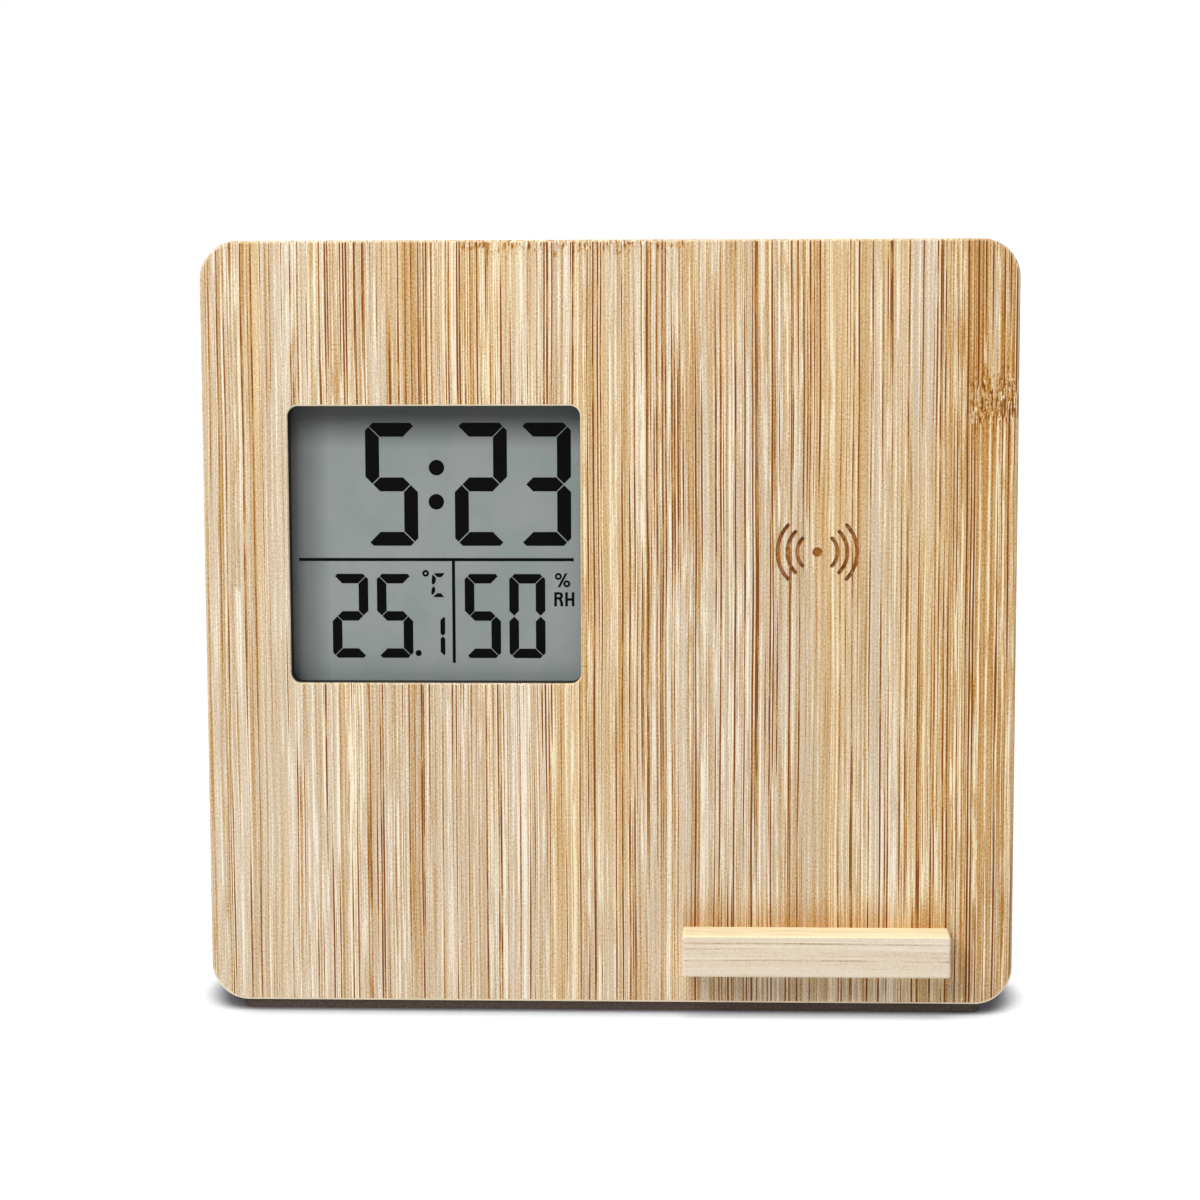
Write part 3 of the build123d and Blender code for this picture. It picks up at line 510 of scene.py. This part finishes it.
def segmentTree(weld):
    tree = bpy.data.node_groups.new("displaySegments", "GeometryNodeTree")
    face = tree.interface
    face.new_socket("Digits", in_out="INPUT", socket_type="NodeSocketGeometry")
    face.new_socket("Segment shapes", in_out="INPUT", socket_type="NodeSocketCollection")
    face.new_socket("Plate depth", in_out="INPUT", socket_type="NodeSocketFloat")
    face.new_socket("Ink", in_out="INPUT", socket_type="NodeSocketMaterial")
    face.new_socket("Display", in_out="OUTPUT", socket_type="NodeSocketGeometry")
    given = addNode(tree, "NodeGroupInput").outputs
    shapes = addNode(tree, "GeometryNodeCollectionInfo", {"Collection": given["Segment shapes"],
                                                          "Separate Children": True, "Reset Children": True})
    which = addNode(tree, "GeometryNodeInputNamedAttribute", {"Name": "segment"}, data_type="INT").outputs["Attribute"]
    size = addNode(tree, "GeometryNodeInputNamedAttribute", {"Name": "size"},
                   data_type="FLOAT_VECTOR").outputs["Attribute"]
    spots = addNode(tree, "GeometryNodeMeshToPoints", {"Mesh": given["Digits"]})
    laid = addNode(tree, "GeometryNodeInstanceOnPoints", {"Points": spots.outputs[0], "Instance": shapes.outputs[0],
                                                          "Pick Instance": True, "Instance Index": which,
                                                          "Scale": size})
    real = addNode(tree, "GeometryNodeRealizeInstances", {"Geometry": laid.outputs[0]}).outputs[0]
    way = addNode(tree, "ShaderNodeCombineXYZ", {"Y": work(tree, "MULTIPLY", given["Plate depth"], -1.0)}).outputs[0]
    raised = addNode(tree, "GeometryNodeExtrudeMesh", {"Mesh": real, "Offset": way, "Individual": False})
    under = addNode(tree, "GeometryNodeFlipFaces", {"Mesh": real}).outputs[0]
    both = addNode(tree, "GeometryNodeJoinGeometry")
    tree.links.new(raised.outputs["Mesh"], both.inputs[0])
    tree.links.new(under, both.inputs[0])
    closed = addNode(tree, "GeometryNodeMergeByDistance", {"Geometry": both.outputs[0], "Distance": weld}).outputs[0]
    inked = addNode(tree, "GeometryNodeSetMaterial", {"Geometry": closed, "Material": given["Ink"]}).outputs[0]
    out = addNode(tree, "NodeGroupOutput")
    tree.links.new(inked, out.inputs[0])
    return tree


def displayDigits(look, ink, middle, depth):
    shapes = segmentShapes(look["digit"])
    order = sorted(shapes)
    store = bpy.data.collections.new("segmentShapes")
    scene.collection.children.link(store)
    helpers = []
    for name in order:
        maker = bmesh.new()
        flatFace(maker, [(x * mm, z * mm) for x, z in shapes[name]])
        mesh = bpy.data.meshes.new("shape_" + name)
        maker.to_mesh(mesh)
        maker.free()
        mesh.materials.append(ink)
        helpers.append(bpy.data.objects.new("shape_" + name, mesh))
        store.objects.link(helpers[-1])
    spots, which, sizes = [], [], []
    for digit, (x, z), (wide, tall) in look["rows"]:
        for name in look["segments"][digit]:
            spots.append((middle.x + x * mm, depth, middle.z + z * mm))
            which.append(order.index(name))
            sizes.extend((wide, 1.0, tall))
    mesh = bpy.data.meshes.new("digitSpots")
    mesh.from_pydata(spots, [], [])
    mesh.attributes.new("segment", "INT", "POINT").data.foreach_set("value", which)
    mesh.attributes.new("size", "FLOAT_VECTOR", "POINT").data.foreach_set("vector", sizes)
    given = {"Segment shapes": store, "Plate depth": look["plate"] * mm, "Ink": ink}
    result = nodeMesh(mesh, segmentTree(look["weld"]), given)
    for helper in helpers:
        bpy.data.objects.remove(helper)
    bpy.data.collections.remove(store)
    return result


def roundOutline(centre, radius, count):
    angles = [2 * math.pi * i / count for i in range(count)]
    return [(centre[0] + radius * math.cos(angle), centre[1] + radius * math.sin(angle)) for angle in angles]


def raisedPlate(maker, face, depth):
    grown = bmesh.ops.extrude_face_region(maker, geom=[face])
    corners = [v for v in grown["geom"] if isinstance(v, bmesh.types.BMVert)]
    bmesh.ops.translate(maker, vec=(0, depth, 0), verts=corners)


def displayMarks(look, middle, depth):
    maker = bmesh.new()
    outlines = [roundOutline(centre, radius, look["dotSides"]) for centre, radius in look["dots"]]
    outlines += look["degree"] + look["humidity"]
    for (x0, z0), (x1, z1) in look["rules"]:
        outlines.append([(x0, z0), (x1, z0), (x1, z1), (x0, z1)])
    (x0, z0), (x1, z1), wide = look["slash"]
    foot, head = wide * look["slashFoot"], wide * look["slashHead"]
    outlines.append([(x0, z0), (x0 + foot, z0), (x1 + head, z1), (x1 - wide, z1)])
    for outline in outlines:
        raisedPlate(maker, flatFace(maker, outline), -look["plate"])
    count = look["ringSides"]
    for centre, radius, wide in look["rings"]:
        outer, inner = roundOutline(centre, radius, count), roundOutline(centre, radius - wide, count)
        low = [[maker.verts.new((x, 0, z)) for x, z in ring] for ring in (outer, inner)]
        high = [[maker.verts.new((x, -look["plate"], z)) for x, z in ring] for ring in (outer, inner)]
        for i in range(count):
            j = (i + 1) % count
            maker.faces.new((high[0][i], high[0][j], high[1][j], high[1][i]))
            maker.faces.new((low[0][j], low[0][i], low[1][i], low[1][j]))
            maker.faces.new((low[0][i], low[0][j], high[0][j], high[0][i]))
            maker.faces.new((low[1][j], low[1][i], high[1][i], high[1][j]))
    bmesh.ops.recalc_face_normals(maker, faces=maker.faces)
    mesh = bpy.data.meshes.new("displayMarks")
    maker.to_mesh(mesh)
    maker.free()
    mesh.transform(Matrix.Translation((middle.x, depth, middle.z)) @ Matrix.Scale(mm, 4))
    return mesh


def displayFinish(look):
    material, tree, shader = newFinish("displayCell", **{"Roughness": look["roughness"],
                                                         "Specular IOR Level": look["sheen"]})
    spot = placeCoords(tree, panelTurn, panelFoot)
    cloud = noise(tree, spot, look["cloud"], 2.0)
    colour = blendColour(tree, span(tree, cloud, *look["cloudSpan"]), look["cell"], look["cellDeep"])
    place = addNode(tree, "ShaderNodeSeparateXYZ", {0: spot}).outputs
    (middleX, middleZ), (wide, tall) = window["middle"], window["size"]
    inward = {"top": work(tree, "SUBTRACT", middleZ + tall / 2, place["Z"]),
              "left": work(tree, "SUBTRACT", place["X"], middleX - wide / 2)}
    for side, (full, gone, share) in look["shade"].items():    # painted shade: the cell is darkened along its top and left edges, as if shaded by the window's frame
        colour = blendColour(tree, span(tree, inward[side], full, gone, share, 0.0), colour, look["paintedShadeTone"])
    tree.links.new(colour, shader.inputs["Base Color"])
    film = noise(tree, spot, look["film"], 1.0)
    bumped(tree, shader, film, look["filmBump"], look["filmDepth"])
    return material


def inkFinish(look):
    material, tree, shader = newFinish("displayInk", **{"Roughness": look["inkRoughness"],
                                                        "Specular IOR Level": look["inkSheen"]})
    spot = placeCoords(tree, panelTurn, panelFoot)
    shade = noise(tree, spot, look["inkCloud"], 1.0)
    lighter = tuple(v * look["inkLift"] for v in look["ink"])
    tree.links.new(blendColour(tree, shade, look["ink"], lighter), shader.inputs["Base Color"])
    return material


coat(displayFinish(display), "lcd_panel")
ink = inkFinish(display)
cellMiddle, cellFront = (cellLow + cellHigh) / 2 + Vector((0, 0, display["rise"] * mm)), cellLow.y
finishPiece(displayDigits(display, ink, cellMiddle, cellFront), "display_digits", "case")
finishPiece(displayMarks(display, cellMiddle, cellFront), "display_marks", "case", ink)
print("display drawn")

# moulded, rubber and ceramic finishes: two close tones in a fine pattern, with its own bump and uneven gloss
finishes = {
    "mouldedBlack": {"tones": (srgb(33, 33, 35), srgb(44, 44, 46)), "size": (0.35, 0.35, 0.35), "gloss": (0.50, 0.57),
                     "bump": 0.30, "nodes": ("back_cover",)},
    "frameBlack": {"tones": (srgb(24, 24, 26), srgb(36, 36, 38)), "size": (0.5, 0.5, 0.5), "gloss": (0.4, 0.6),
                   "bump": 0.15, "nodes": ("lcd_frame",)},
    "satinKey": {"tones": (srgb(58, 58, 61), srgb(70, 70, 73)), "size": (0.22, 0.22, 0.22), "gloss": (0.36, 0.5),
                 "bump": 0.12, "nodes": ("battery_cap", "mode_button", "up_button", "down_button", "unit_button")},
    "mattRubber": {"tones": (srgb(74, 63, 56), srgb(96, 83, 74)), "size": (0.6, 0.6, 0.6), "gloss": (0.75, 0.92),
                   "bump": 0.35, "nodes": ("foot_strip", "leg_pad")},
    "sealFoam": {"tones": (srgb(38, 38, 38), srgb(68, 67, 66)), "size": (0.4, 0.4, 0.4), "gloss": (0.85, 0.98),
                 "bump": 0.6, "nodes": ("display_gasket",)},
    "mouldedResin": {"tones": (srgb(26, 26, 27), srgb(42, 42, 43)), "size": (0.18, 0.18, 0.18), "gloss": (0.45, 0.7),
                     "bump": 0.2, "nodes": ("clock_chip", "charger_chip", "usb_tongue", "switch_bodies")},
    "plungerResin": {"tones": (srgb(60, 58, 54), srgb(80, 77, 71)), "size": (0.2, 0.2, 0.2), "gloss": (0.4, 0.6),
                     "bump": 0.15, "nodes": ("mode_plunger", "up_plunger", "down_plunger", "unit_plunger")},
    "firedCeramic": {"tones": (srgb(176, 150, 118), srgb(204, 180, 148)), "size": (0.3, 0.3, 0.3), "gloss": (0.4, 0.6),
                     "bump": 0.15, "nodes": ("climate_sensor", "charger_capacitors")},
    "pressedFerrite": {"tones": (srgb(58, 58, 62), srgb(84, 84, 88)), "size": (0.25, 0.25, 0.25), "gloss": (0.55, 0.8),
                       "bump": 0.25, "nodes": ("ferrite_plate", "charger_inductor")},
}

fine = {"sheen": 0.4, "grainRough": 0.6, "cloud": (11, 11, 11), "grainShare": 0.8, "cloudShare": 0.2,
        "toneSpan": (0.35, 0.65), "glossSpan": (0.3, 0.7), "depth": 0.00006}


def fineFinish(name, look):
    material, tree, shader = newFinish(name, **{"Specular IOR Level": fine["sheen"]})
    spot = placeCoords(tree, panelTurn, panelFoot)
    grain = noise(tree, spot, look["size"], 2.0, fine["grainRough"])
    cloud = noise(tree, spot, fine["cloud"], 2.0)
    share = work(tree, "ADD", product(tree, grain, fine["grainShare"]), product(tree, cloud, fine["cloudShare"]))
    colour = blendColour(tree, span(tree, share, *fine["toneSpan"]), *look["tones"])
    tree.links.new(colour, shader.inputs["Base Color"])
    tree.links.new(span(tree, cloud, *fine["glossSpan"], *look["gloss"]), shader.inputs["Roughness"])
    bumped(tree, shader, grain, look["bump"], fine["depth"])
    return material


for name, look in finishes.items():
    coat(fineFinish(name, look), *look["nodes"])

# plated steel, brushed one way and a little uneven
steel = {"tones": (srgb(132, 132, 135), srgb(178, 178, 181)), "brush": (3.0, 0.12, 0.12), "brushRough": 0.6,
         "brushSpan": (0.3, 0.7), "gloss": (0.24, 0.42), "bump": 0.08, "depth": 0.00003,
         "nodes": ("module_screws", "cover_screws", "charger_screws", "hinge_pins", "battery_contact_minus",
                   "battery_contact_plus", "usb_socket", "coin_cell")}


def steelFinish(look):
    material, tree, shader = newFinish("platedSteel", **{"Metallic": 1.0})
    spot = placeCoords(tree, panelTurn, panelFoot)
    streak = noise(tree, spot, look["brush"], 2.0, look["brushRough"])
    colour = blendColour(tree, span(tree, streak, *look["brushSpan"]), *look["tones"])
    tree.links.new(colour, shader.inputs["Base Color"])
    tree.links.new(span(tree, streak, *look["brushSpan"], *look["gloss"]), shader.inputs["Roughness"])
    bumped(tree, shader, streak, look["bump"], look["depth"])
    return material


coat(steelFinish(steel), *steel["nodes"])

# circuit boards: green mask with paler tracks under it
board = {"mask": srgb(22, 74, 44), "maskDeep": 0.8, "track": srgb(44, 108, 66), "cell": (3.2, 3.2, 3.2),
         "loose": 0.6, "wide": (0.05, 0.09), "cloud": (6, 6, 6), "cloudSpan": (0.3, 0.7), "roughness": 0.38,
         "bump": 0.2, "depth": 0.00005}


def boardFinish(look):
    material, tree, shader = newFinish("greenBoard", **{"Roughness": look["roughness"]})
    spot = placeCoords(tree, panelTurn, panelFoot)
    edges = addNode(tree, "ShaderNodeTexVoronoi", {"Vector": stretched(tree, spot, look["cell"]), "Scale": 1.0,
                                                   "Randomness": look["loose"]}, feature="DISTANCE_TO_EDGE")
    track = span(tree, edges.outputs["Distance"], *look["wide"], 1.0, 0.0)
    cloud = noise(tree, spot, look["cloud"], 2.0)
    deepMask = tuple(v * look["maskDeep"] for v in look["mask"])
    mask = blendColour(tree, span(tree, cloud, *look["cloudSpan"]), look["mask"], deepMask)
    tree.links.new(blendColour(tree, track, mask, look["track"]), shader.inputs["Base Color"])
    bumped(tree, shader, track, look["bump"], look["depth"])
    return material


coat(boardFinish(board), "clock_board", "charger_board")

# copper wire: the coil's turns run round its middle, the leads carry the same lacquer
copper = {"tones": (srgb(150, 84, 42), srgb(214, 138, 84)), "turn": 0.9, "turnShare": 0.8, "cloud": (2.0, 2.0, 2.0),
          "cloudShare": 0.2, "roughness": 0.34, "bump": 0.5, "depth": 0.0002}


def copperFinish(look):
    material, tree, shader = newFinish("copperWire", **{"Metallic": 1.0, "Roughness": look["roughness"]})
    spot = placeCoords(tree, panelTurn, panelFoot)
    away = addNode(tree, "ShaderNodeVectorMath", {0: spot, 1: tuple(markCentre)}, operation="DISTANCE").outputs["Value"]
    wave = work(tree, "SINE", product(tree, away, 2 * math.pi / look["turn"]))
    cloud = noise(tree, spot, look["cloud"], 2.0)
    turns = span(tree, wave, -1.0, 1.0, 0.0, look["turnShare"])
    share = work(tree, "ADD", turns, product(tree, cloud, look["cloudShare"]))
    tree.links.new(blendColour(tree, share, *look["tones"]), shader.inputs["Base Color"])
    bumped(tree, shader, wave, look["bump"], look["depth"])
    return material


copperWire = copperFinish(copper)
coat(copperWire, "charge_coil", "coil_leads")

# charging coil: flat spiral of lacquered wire in the ring's place, in millimetres
coil = {"wire": 1.04, "turns": 10.0, "bore": 10.0, "steps": 64, "sides": 10}


def coilTree():
    tree = bpy.data.node_groups.new("coilTurns", "GeometryNodeTree")
    face = tree.interface
    face.new_socket("Seed", in_out="INPUT", socket_type="NodeSocketGeometry")
    for name in ("Inner radius", "Outer radius", "Wire radius", "Turns"):
        face.new_socket(name, in_out="INPUT", socket_type="NodeSocketFloat")
    face.new_socket("Steps", in_out="INPUT", socket_type="NodeSocketInt")
    face.new_socket("Sides", in_out="INPUT", socket_type="NodeSocketInt")
    face.new_socket("Wire", in_out="INPUT", socket_type="NodeSocketMaterial")
    face.new_socket("Coil", in_out="OUTPUT", socket_type="NodeSocketGeometry")
    given = addNode(tree, "NodeGroupInput").outputs
    path = addNode(tree, "GeometryNodeCurveSpiral", {"Resolution": given["Steps"], "Rotations": given["Turns"],
                                                     "Start Radius": given["Inner radius"],
                                                     "End Radius": given["Outer radius"], "Height": 0.0})
    section = addNode(tree, "GeometryNodeCurvePrimitiveCircle", {"Resolution": given["Sides"],
                                                                 "Radius": given["Wire radius"]}, mode="RADIUS")
    wound = addNode(tree, "GeometryNodeCurveToMesh", {"Curve": path.outputs[0], "Profile Curve": section.outputs[0],
                                                      "Fill Caps": True}).outputs[0]
    real = addNode(tree, "GeometryNodeRealizeInstances", {"Geometry": wound}).outputs[0]
    coated = addNode(tree, "GeometryNodeSetMaterial", {"Geometry": real, "Material": given["Wire"]}).outputs[0]
    out = addNode(tree, "NodeGroupOutput")
    tree.links.new(coated, out.inputs[0])
    return tree


wireRadius = coil["wire"] / 2 * mm
coilMesh = nodeMesh(bpy.data.meshes.new("coilSeed"), coilTree(),
                    {"Inner radius": (coil["bore"] + coil["wire"] / 2) * mm,
                     "Outer radius": (ringHigh.x - ringLow.x) / 2 - wireRadius, "Wire radius": wireRadius,
                     "Turns": coil["turns"], "Steps": coil["steps"], "Sides": coil["sides"], "Wire": copperWire})
coilPlace = toPanel @ Matrix.Translation((ringLow + ringHigh) / 2) @ Matrix.Rotation(math.radians(90), 4, "X")
coilPiece = finishPiece(coilMesh, "coil_turns", "case", place=coilPlace)
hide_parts("charge_coil")

# connector strips: dark and pale layers across their length
zebra = {"dark": srgb(48, 48, 52), "pale": srgb(172, 172, 178), "pitch": 0.5, "soft": 0.3, "roughness": 0.7,
         "grain": (0.3, 0.3, 0.3), "bump": 0.2, "depth": 0.00005}


def zebraFinish(look):
    material, tree, shader = newFinish("layeredRubber", **{"Roughness": look["roughness"]})
    spot = placeCoords(tree, panelTurn, panelFoot)
    across = addNode(tree, "ShaderNodeSeparateXYZ", {0: spot}).outputs["X"]
    wave = work(tree, "SINE", product(tree, across, 2 * math.pi / look["pitch"]))
    colour = blendColour(tree, span(tree, wave, -look["soft"], look["soft"]), look["dark"], look["pale"])
    tree.links.new(colour, shader.inputs["Base Color"])
    bumped(tree, shader, noise(tree, spot, look["grain"], 1.0), look["bump"], look["depth"])
    return material


coat(zebraFinish(zebra), "zebra_strips")
print("finishes set")

# raised marks on the rear: one on each key, a pointer on the cap, an open and a closed mark on the cover
marks = {"proud": 0.14, "sunk": 0.01, "keySize": 1.5, "capReach": 9.6, "capMark": 1.3, "coverReach": 15.6,
         "coverMark": 1.2, "turn": 45.0, "ringSides": 28, "arrow": (0.6, 0.8), "pointer": (0.8, 0.9),
         "stroke": 0.26, "barStep": 0.6, "barWide": 1.9, "unitRing": 0.62, "unitRingAt": (-0.35, 0.25),
         "unitBarAt": 0.55, "unitBarTall": 1.7, "shutRing": 0.7, "openBar": (0.45, 1.5),
         "paint": {"tones": (srgb(148, 148, 150), srgb(168, 168, 170)), "size": (0.2, 0.2, 0.2),
                   "gloss": (0.45, 0.6), "bump": 0.1}}


def turned(outline, angle):
    c, s = math.cos(angle), math.sin(angle)
    return [(x * c - z * s, x * s + z * c) for x, z in outline]


def moved(outline, x, z):
    return [(a + x, b + z) for a, b in outline]


def bar(x, z, wide, tall):
    left, right, low, high = x - wide / 2, x + wide / 2, z - tall / 2, z + tall / 2
    return [(left, low), (right, low), (right, high), (left, high)]


def triangle(size, low, high):
    return [(-size, -size * low), (size, -size * low), (0, size * high)]


def keyOutlines(look):
    size, stroke, (ringX, ringZ) = look["keySize"], look["keySize"] * look["stroke"], look["unitRingAt"]
    bars = [bar(0, z * size * look["barStep"], size * look["barWide"], stroke) for z in (-1, 0, 1)]
    arrow = triangle(size, *look["arrow"])
    ring = roundOutline((0.0, 0.0), size * look["unitRing"], look["ringSides"])
    upright = bar(size * look["unitBarAt"], 0, stroke, size * look["unitBarTall"])
    return {"mode": bars, "up": [arrow], "down": [[(x, -z) for x, z in arrow]],
            "unit": [upright, moved(ring, size * ringX, size * ringZ)]}


def raisedMarks(outlines, spot, proud):
    maker = bmesh.new()
    for outline in outlines:
        face = flatFace(maker, moved([(x * mm, z * mm) for x, z in outline], spot.x, spot.z), spot.y)
        raisedPlate(maker, face, proud * mm)
    bmesh.ops.recalc_face_normals(maker, faces=maker.faces)
    mesh = bpy.data.meshes.new("raisedMarks")
    maker.to_mesh(mesh)
    maker.free()
    return mesh


def rearMiddle(node):
    low, high = panelBox(node)
    return Vector(((low.x + high.x) / 2, high.y - marks["sunk"] * mm, (low.z + high.z) / 2))


markPaint = fineFinish("markPaint", marks["paint"])
for key, outlines in keyOutlines(marks).items():
    flipped = [[(-x, z) for x, z in outline] for outline in outlines]    # read from behind
    mesh = raisedMarks(flipped, rearMiddle(key + "_button"), marks["proud"])
    finishPiece(mesh, key + "_mark", key + "_key", markPaint)
capMiddle = rearMiddle("battery_cap")    # the cap is flush with the cover
size, reach, way = marks["coverMark"], marks["coverReach"], math.radians(marks["turn"])
pointer = moved(triangle(marks["capMark"], *marks["pointer"]), 0, marks["capReach"])
finishPiece(raisedMarks([pointer], capMiddle, marks["proud"]), "cap_pointer", "cap", markPaint)
shutMark = roundOutline((0.0, reach), size * marks["shutRing"], marks["ringSides"])
openMark = turned(bar(0, reach, *(size * share for share in marks["openBar"])), -way)
mesh = raisedMarks([shutMark, openMark], capMiddle, marks["proud"])
finishPiece(mesh, "cover_marks", "case", markPaint)
print("rear marks set")

# plain studio: pale floor that the camera sees as white, a soft key at the upper left, two more lamps, even fill
studio = {"floorSize": 8.0, "floorTone": (0.80, 0.80, 0.80), "seenTone": (0.12, 0.12, 0.12), "lift": 0.97, "fill": 0.11,
          "shade": srgb(62, 62, 72), "shadeReach": 0.010, "shadeSpan": (0.46, 0.74), "shadeSamples": 12,
          "keyPower": 7.6, "keySize": 0.5, "keyDistance": 1.1, "keyWay": (-0.44, -0.74, 0.62),
          "topPower": 7.6, "topSize": 0.9, "topDistance": 1.2, "topWay": (-0.1, -0.1, 1.0),
          "rearPower": 9.0, "rearSize": 0.9, "rearDistance": 1.4, "rearWay": (0.45, 0.75, 0.55)}


def seenDirectly(tree):
    rays = addNode(tree, "ShaderNodeLightPath").outputs
    bent = work(tree, "MAXIMUM", rays["Is Glossy Ray"], rays["Is Transmission Ray"])
    return work(tree, "MAXIMUM", rays["Is Camera Ray"], bent)


def layFloor(look):
    half = look["floorSize"] / 2
    mesh = bpy.data.meshes.new("floor")
    mesh.from_pydata([(-half, -half, 0), (half, -half, 0), (half, half, 0), (-half, half, 0)], [], [(0, 1, 2, 3)])
    floor = bpy.data.objects.new("floor", mesh)
    scene.collection.objects.link(floor)
    material = bpy.data.materials.new("paleFloor")
    material.use_nodes = True
    tree = material.node_tree
    tree.nodes.clear()
    matt = addNode(tree, "ShaderNodeBsdfDiffuse", {"Color": (*look["floorTone"], 1)}).outputs[0]
    faint = addNode(tree, "ShaderNodeBsdfDiffuse", {"Color": (*look["seenTone"], 1)}).outputs[0]
    clear = addNode(tree, "ShaderNodeAmbientOcclusion", {"Distance": look["shadeReach"]},
                    samples=look["shadeSamples"]).outputs["AO"]
    tint = blendColour(tree, span(tree, clear, *look["shadeSpan"]), look["shade"], (1.0, 1.0, 1.0))
    glow = addNode(tree, "ShaderNodeEmission", {"Color": tint, "Strength": look["lift"]}).outputs[0]
    white = addNode(tree, "ShaderNodeAddShader", {0: faint, 1: glow}).outputs[0]
    both = addNode(tree, "ShaderNodeMixShader", {0: seenDirectly(tree), 1: matt, 2: white}).outputs[0]
    out = addNode(tree, "ShaderNodeOutputMaterial")
    tree.links.new(both, out.inputs["Surface"])
    mesh.materials.append(material)


def lightSky(look):
    world = bpy.data.worlds.new("studio")
    scene.world = world
    world.use_nodes = True
    sky = world.node_tree
    sky.nodes.clear()
    level = work(sky, "ADD", product(sky, seenDirectly(sky), 1.0 - look["fill"]), look["fill"])
    light = addNode(sky, "ShaderNodeBackground", {"Color": (1, 1, 1, 1), "Strength": level})
    out = addNode(sky, "ShaderNodeOutputWorld")
    sky.links.new(light.outputs[0], out.inputs["Surface"])


def hangLamps(look):
    target = (cadBox[0] + cadBox[1]) / 2
    for part in ("key", "top", "rear"):
        lamp = bpy.data.lights.new(part + "Light", "AREA")
        lamp.energy = look[part + "Power"]
        lamp.shape = "SQUARE"
        lamp.size = look[part + "Size"]
        light = bpy.data.objects.new(part + "Light", lamp)
        scene.collection.objects.link(light)
        way = Vector(look[part + "Way"]).normalized()
        if part == "key":
            way.rotate(toPanel.to_3x3())    # the key's direction is measured from the panel
        light.location = target + way * look[part + "Distance"]
        light.rotation_mode = "QUATERNION"
        light.rotation_quaternion = way.to_track_quat("Z", "Y")


layFloor(studio)
lightSky(studio)
hangLamps(studio)
print("studio lit")
